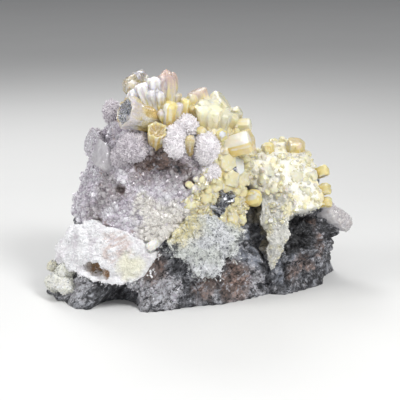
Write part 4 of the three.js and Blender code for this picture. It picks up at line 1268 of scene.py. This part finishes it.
ball(
    "foot_knob", FOOT_KNOB, GRANULAR, "mimetite", "mimetite_foot_knob", needle=0.25, thickness=0.35,
    per_mm2=8.0, yellow=0.6, dark=0.0)

grow("mimetite_white_blade", [
    ((-104, -3), (-0.5, -0.8, -0.25), 2.2, 2.0, "blunt", dict(frost=0.2, deep=0.0, facets=0.5, milk_and_glint=0.8))],
    "mimetite_pale")

# ---------------------------------------------------------------- mimetite beds
# Massive mimetite fills between the ridge's crystals, and a thin bed of it lies below them round the galena.
# Blocky little crystals crowd both, grown one through another.

BED_SWELL = swelling(0.7, 3.0, 161, 0.4, (1.7, 163, 0.45), (0.8, 165, 0.25))
BED_GRID = (50, 150)
RIDGE_BED = {
    "lump": TOWER, "at": (-38, 55),
    "reaches": (23, 22, 22, 24, 28, 32, 31, 29, 27, 29, 24, 31, 9, 10, 13, 22),
    "thick": 0.6, "rim": 0.4, "ragged": 0.06, "grid": BED_GRID, "swell": BED_SWELL}
LOWER_BED = {
    "lump": TOWER, "at": (-51, 24),
    "reaches": (12, 14, 16, 18, 37, 33, 29, 24, 19, 17, 17, 17, 25, 27, 19, 15),
    "thick": 0.3, "rim": 0.2, "ragged": 0.14, "grid": BED_GRID, "swell": BED_SWELL}


def clear_of(points):
    """True where a point is farther from everything large than its half width."""
    free = np.ones(len(points), bool)
    for foot, tip, half in STANDING:
        axis = tip - foot
        along = np.clip((points - foot) @ axis / (axis @ axis), 0, 1)
        free &= np.linalg.norm(points - foot - along[:, None] * axis, axis=-1) > half
    return free


def sugar_on(name, crust, slot, count, seed, widths, deep, frost, edge=0.98):
    """Blocky little crystals strewn over a crust and grown out of it at all angles."""
    rng = np.random.default_rng(seed)
    roots, out, _ = scatter(crust, count, rng, edge)
    free = clear_of(roots)
    roots, out = roots[free], out[free]
    size = rng.uniform(*widths, len(roots)) * rng.uniform(0.6, 1.3, len(roots))
    points, faces, number = small_crystals(
        BLOCKY, roots - 0.4 * out, bristle(out, rng, 0.45), size,
        0.5 + size * rng.uniform(0.5, 1.0, len(roots)), rng)
    show(
        name, points, faces, MIMETITE, slot, smooth=False, along=0.35 + 0.4 * number, streak=number,
        frost=frost * (0.4 + number), deep=deep * (0.4 + number), **PLAIN)


def bed_sheet(name, crust, *nodes, deep):
    """A crust of massive mimetite as a piece, its colour mottled by noise."""
    show(
        name, *crust_sheet(crust), MIMETITE, "mimetite", *nodes, frost=0.3, deep=deep,
        along=lambda points: 0.3 + 0.5 * noise(points, 1.5, 167),
        streak=lambda points: noise(points, 0.5, 169), **PLAIN)


PLAIN = dict(hollow=0.0, white=0.0, blush=0.0)   # no hollow end, no white side, no blush
bed_sheet("ridge_bed", RIDGE_BED, "mimetite_ridge_crust", deep=0.6)
sugar_on("ridge_sugar", RIDGE_BED, "mimetite", count=260, seed=21, widths=(0.6, 1.4), deep=0.5, frost=0.4)
bed_sheet("lower_bed", LOWER_BED, deep=0.45)
sugar_on("lower_sugar", LOWER_BED, "mimetite", count=420, seed=23, widths=(0.3, 0.75), deep=0.6, frost=0.3)

# ---------------------------------------------------------------- lobe
# The right lobe is skinned with cream, fine-grained mimetite and studded with stout pale prisms.
# A knob of grey quartz caps its far corner.

CREAM_CRUST = {
    "lump": LOBE, "at": (-85, 55),
    "reaches": (73, 71, 34, 27, 28, 37, 31, 28, 31, 53, 46, 29, 31, 42, 52, 60),
    "thick": 0.3, "rim": 0.2, "ragged": 0.12, "grid": (60, 180),
    "swell": swelling(0.9, 3.6, 171, 0.5, (1.9, 173, 0.7), (0.8, 175, 0.25))}
QUARTZ_CORNER = {
    "lump": LOBE, "at": (-10, 12), "reaches": (14, 14, 16, 18, 17, 16, 15, 14, 13, 14, 18, 16), "thick": 0.7,
    "rim": 0.3, "ragged": 0.1, "grid": (30, 90), "swell": swelling(0.8, 1.6, 177, 0.3)}
# SHADED: where the cream is greyed as painted shade, in the hollow middle of the lobe.
SHADED = [((13.5, -1.5, 18.5), 4.0), ((12.5, -3.0, 10.0), 5.0)]

CREAM, start = new_material("cream_skin")
sugar = start.specks(0.3)
cream_colour = start.layers(
    (0.95, 0.94, 0.88),
    (start.cloud(2.4, 5.0).step(0.46, 0.64), (0.90, 0.83, 0.56)),
    # shade greys the cream: painted shade where SHADED lies
    (start.value("shade") * 0.8, (0.62, 0.62, 0.60)),
    (start.cloud(1.1, 5.0, 0.7).step(0.60, 0.72) * 0.4, (0.50, 0.49, 0.44)))
finish_material(
    start, Base_Color=cream_colour, Roughness=0.25 + 0.4 * sugar, Subsurface_Weight=0.3,
    Subsurface_Scale=0.0008, Subsurface_Radius=(1.0, 0.95, 0.85), Normal=start.bump(sugar, 0.14))
show(
    "cream_skin", *crust_sheet(CREAM_CRUST), CREAM, "cream_crust", "cream_crust",
    shade=spotted(SHADED, 1.4, 179))
sugar_on(
    "lobe_sugar", CREAM_CRUST, "mimetite_pale", count=300, seed=25, widths=(0.4, 1.0), deep=0.25, frost=0.3,
    edge=0.95)

# It runs on as a narrow strip down beside the groove between the lumps.
CREAM_STRIP = {
    **CREAM_CRUST, "ragged": 0.3, "at": (-102, -3), "reaches": (28, 27, 19, 12, 10, 12, 20, 10, 5, 3, 5, 12),
    "thick": 0.7, "rim": 0.4, "grid": (40, 100)}
show("cream_strip", *crust_sheet(CREAM_STRIP), CREAM, "cream_crust", shade=0.5)
STRIP_BLADES = 900
CREAM_HALO = 1600
rng = np.random.default_rng(29)
roots, out = joined(
    scatter(CREAM_STRIP, STRIP_BLADES, rng, 0.99)[:2], halo(CREAM_STRIP, STRIP_BLADES, 0.2, rng),
    halo(CREAM_CRUST, CREAM_HALO, 0.12, rng))
size = rng.uniform(0.25, 0.6, len(roots))
points, faces, number = small_crystals(
    SHARD, roots - 0.15 * out, bristle(out, rng, 0.8), size, 0.2 + 0.5 * size, rng)
show("cream_blades", points, faces, CREAM, "cream_crust", smooth=False, shade=number)

show("quartz_corner_sheet", *crust_sheet(QUARTZ_CORNER), SHELL, "quartz", "quartz_corner")
CORNER_POINTS = 430
rng = np.random.default_rng(27)
roots, out, _ = scatter(QUARTZ_CORNER, CORNER_POINTS, rng, 0.95)
size = rng.uniform(0.3, 0.8, len(roots))
points, faces, number = small_crystals(
    POINTED, roots - 0.3 * out, bristle(out, rng, 0.5), size, 0.3 + 0.6 * size, rng)
show("corner_points", points, faces, QUARTZ, "quartz", smooth=False, number=number, brown=0.12, warm=0.5)

LOBE_PRISMS = [
    ((-170, 66), (-0.3, -0.2, 1), 2.8, 2.3), ((180, 79), (-0.1, -0.2, 1), 2.6, 2.4),
    ((20, 80), (0.1, -0.2, 1), 3.0, 3.6), ((-26, 73), (0.5, -0.3, 0.9), 2.4, 2.6),
    ((-31, 57), (1, -0.25, 0.45), 2.8, 2.0), ((-42, 43), (0.9, -0.5, 0.3), 2.2, 2.2),
    ((-42, 32), (0.9, -0.5, 0.3), 1.9, 1.9), ((-104, 79), (0, -0.5, 1), 2.4, 2.6),
    ((-118, 62), (-0.3, -0.7, 0.7), 2.4, 2.8), ((-72, 60), (0.2, -0.9, 0.6), 2.4, 2.8),
    ((-104, 52), (-0.1, -1, 0.4), 2.2, 2.6), ((-64, 46), (0.4, -0.9, 0.4), 2.2, 2.4),
    ((-44, 58), (0.6, -0.6, 0.7), 2.3, 2.4), ((-128, 53), (0.3, -0.9, 0.5), 3.4, 2.0),
    ((-86, 49), (0, -1, 0.3), 2.0, 2.4), ((-153, 71), (-0.4, -0.5, 0.9), 2.6, 2.2),
]
GOLDEN = (1, 2, 3, 5, 6, 7)   # the ones that stand out, a deeper yellow
SUNK = dict(frost=0.2, deep=0.15, facets=1.2, wavy=0.5, mates=4, drop=1.0)
for i, stem in enumerate(LOBE_PRISMS, 1):
    looks = dict(frost=0.1, deep=1.0, blush=0.35 * (i == 3), facets=0.6, mates=3) if i in GOLDEN else SUNK
    tip = "flat" if i in GOLDEN else "blunt"
    grow(
        f"mimetite_stud_{i:02d}", [(*stem, tip, looks)], "mimetite_pale", f"mimetite_lobe_{i:02d}", lump=LOBE,
        **SHORT_GRID)

# ---------------------------------------------------------------- studio
# A pale floor, soft boxes, and the camera.

TARGET = Vector((0.0, 0.0, 18.6)) * MM
CAMERA_AWAY = 222 * MM
CAMERA_SIDE = -90.0
CAMERA_UP = 14.0
LENS = 100.0
SENSOR = 36.0
NEAREST = 0.01         # the camera sees nothing nearer than this many metres
SKY = (0.92, 0.94, 1.0, 1.0)
SKY_STRENGTH = 0.13
FLOOR_DROP = 0.02
FLOOR_RADIUS = 1500.0
FLOOR_SPOKES = 96

FLOOR, start = new_material("pale_floor")
finish_material(
    start, Base_Color=start.mix(start.cloud(60.0), (0.74, 0.74, 0.73), (0.78, 0.78, 0.77)), Roughness=0.9)
disc = np.linspace(0, 360, FLOOR_SPOKES, endpoint=False)
floor_points = np.concatenate([[[0, 0, 0.0]], aim(disc, 0 * disc) * FLOOR_RADIUS]) - [0, 0, FLOOR_DROP]
spokes = np.arange(FLOOR_SPOKES)
floor_mesh = bpy.data.meshes.new("floor")
floor_fan = np.stack([0 * spokes, 1 + spokes, 1 + (spokes + 1) % FLOOR_SPOKES], axis=-1)
floor_mesh.from_pydata((floor_points * MM).tolist(), [], floor_fan.tolist())
floor_mesh.materials.append(FLOOR)
floor = bpy.data.objects.new("floor", floor_mesh)
bpy.context.scene.collection.objects.link(floor)

camera_data = bpy.data.cameras.new("camera")
camera_data.lens = LENS
camera_data.sensor_width = SENSOR
camera_data.clip_start = NEAREST
camera = bpy.data.objects.new("camera", camera_data)
towards = Vector(aim(CAMERA_SIDE, CAMERA_UP))
camera.location = TARGET + towards * CAMERA_AWAY
camera.rotation_euler = (-towards).to_track_quat("-Z", "Y").to_euler()
bpy.context.scene.collection.objects.link(camera)
bpy.context.scene.camera = camera

# Soft boxes: name, side and height they shine from, how far away, width, power in watts.
LIGHTS = [
    ("key", -52, 44, 260, 70, 0.43),
    ("left", -160, 34, 260, 90, 0.24),
    ("front", -100, 12, 320, 150, 0.16),
    ("rim", 110, 45, 280, 110, 0.26),
    ("ceiling", 90, 89.9, 1100, 1400, 5.0),
]
for name, side, up, away, width, power in LIGHTS:
    data = bpy.data.lights.new(name, "AREA")
    data.size = width * MM
    data.energy = power
    lamp = bpy.data.objects.new(name, data)
    way = Vector(aim(side, up))
    lamp.location = TARGET + way * away * MM
    lamp.rotation_euler = (-way).to_track_quat("-Z", "Y").to_euler()
    bpy.context.scene.collection.objects.link(lamp)

world = bpy.data.worlds.new("studio")
world.use_nodes = True
background = world.node_tree.nodes["Background"]
background.inputs["Color"].default_value = SKY
background.inputs["Strength"].default_value = SKY_STRENGTH
bpy.context.scene.world = world
bpy.context.scene.view_settings.view_transform = "Standard"
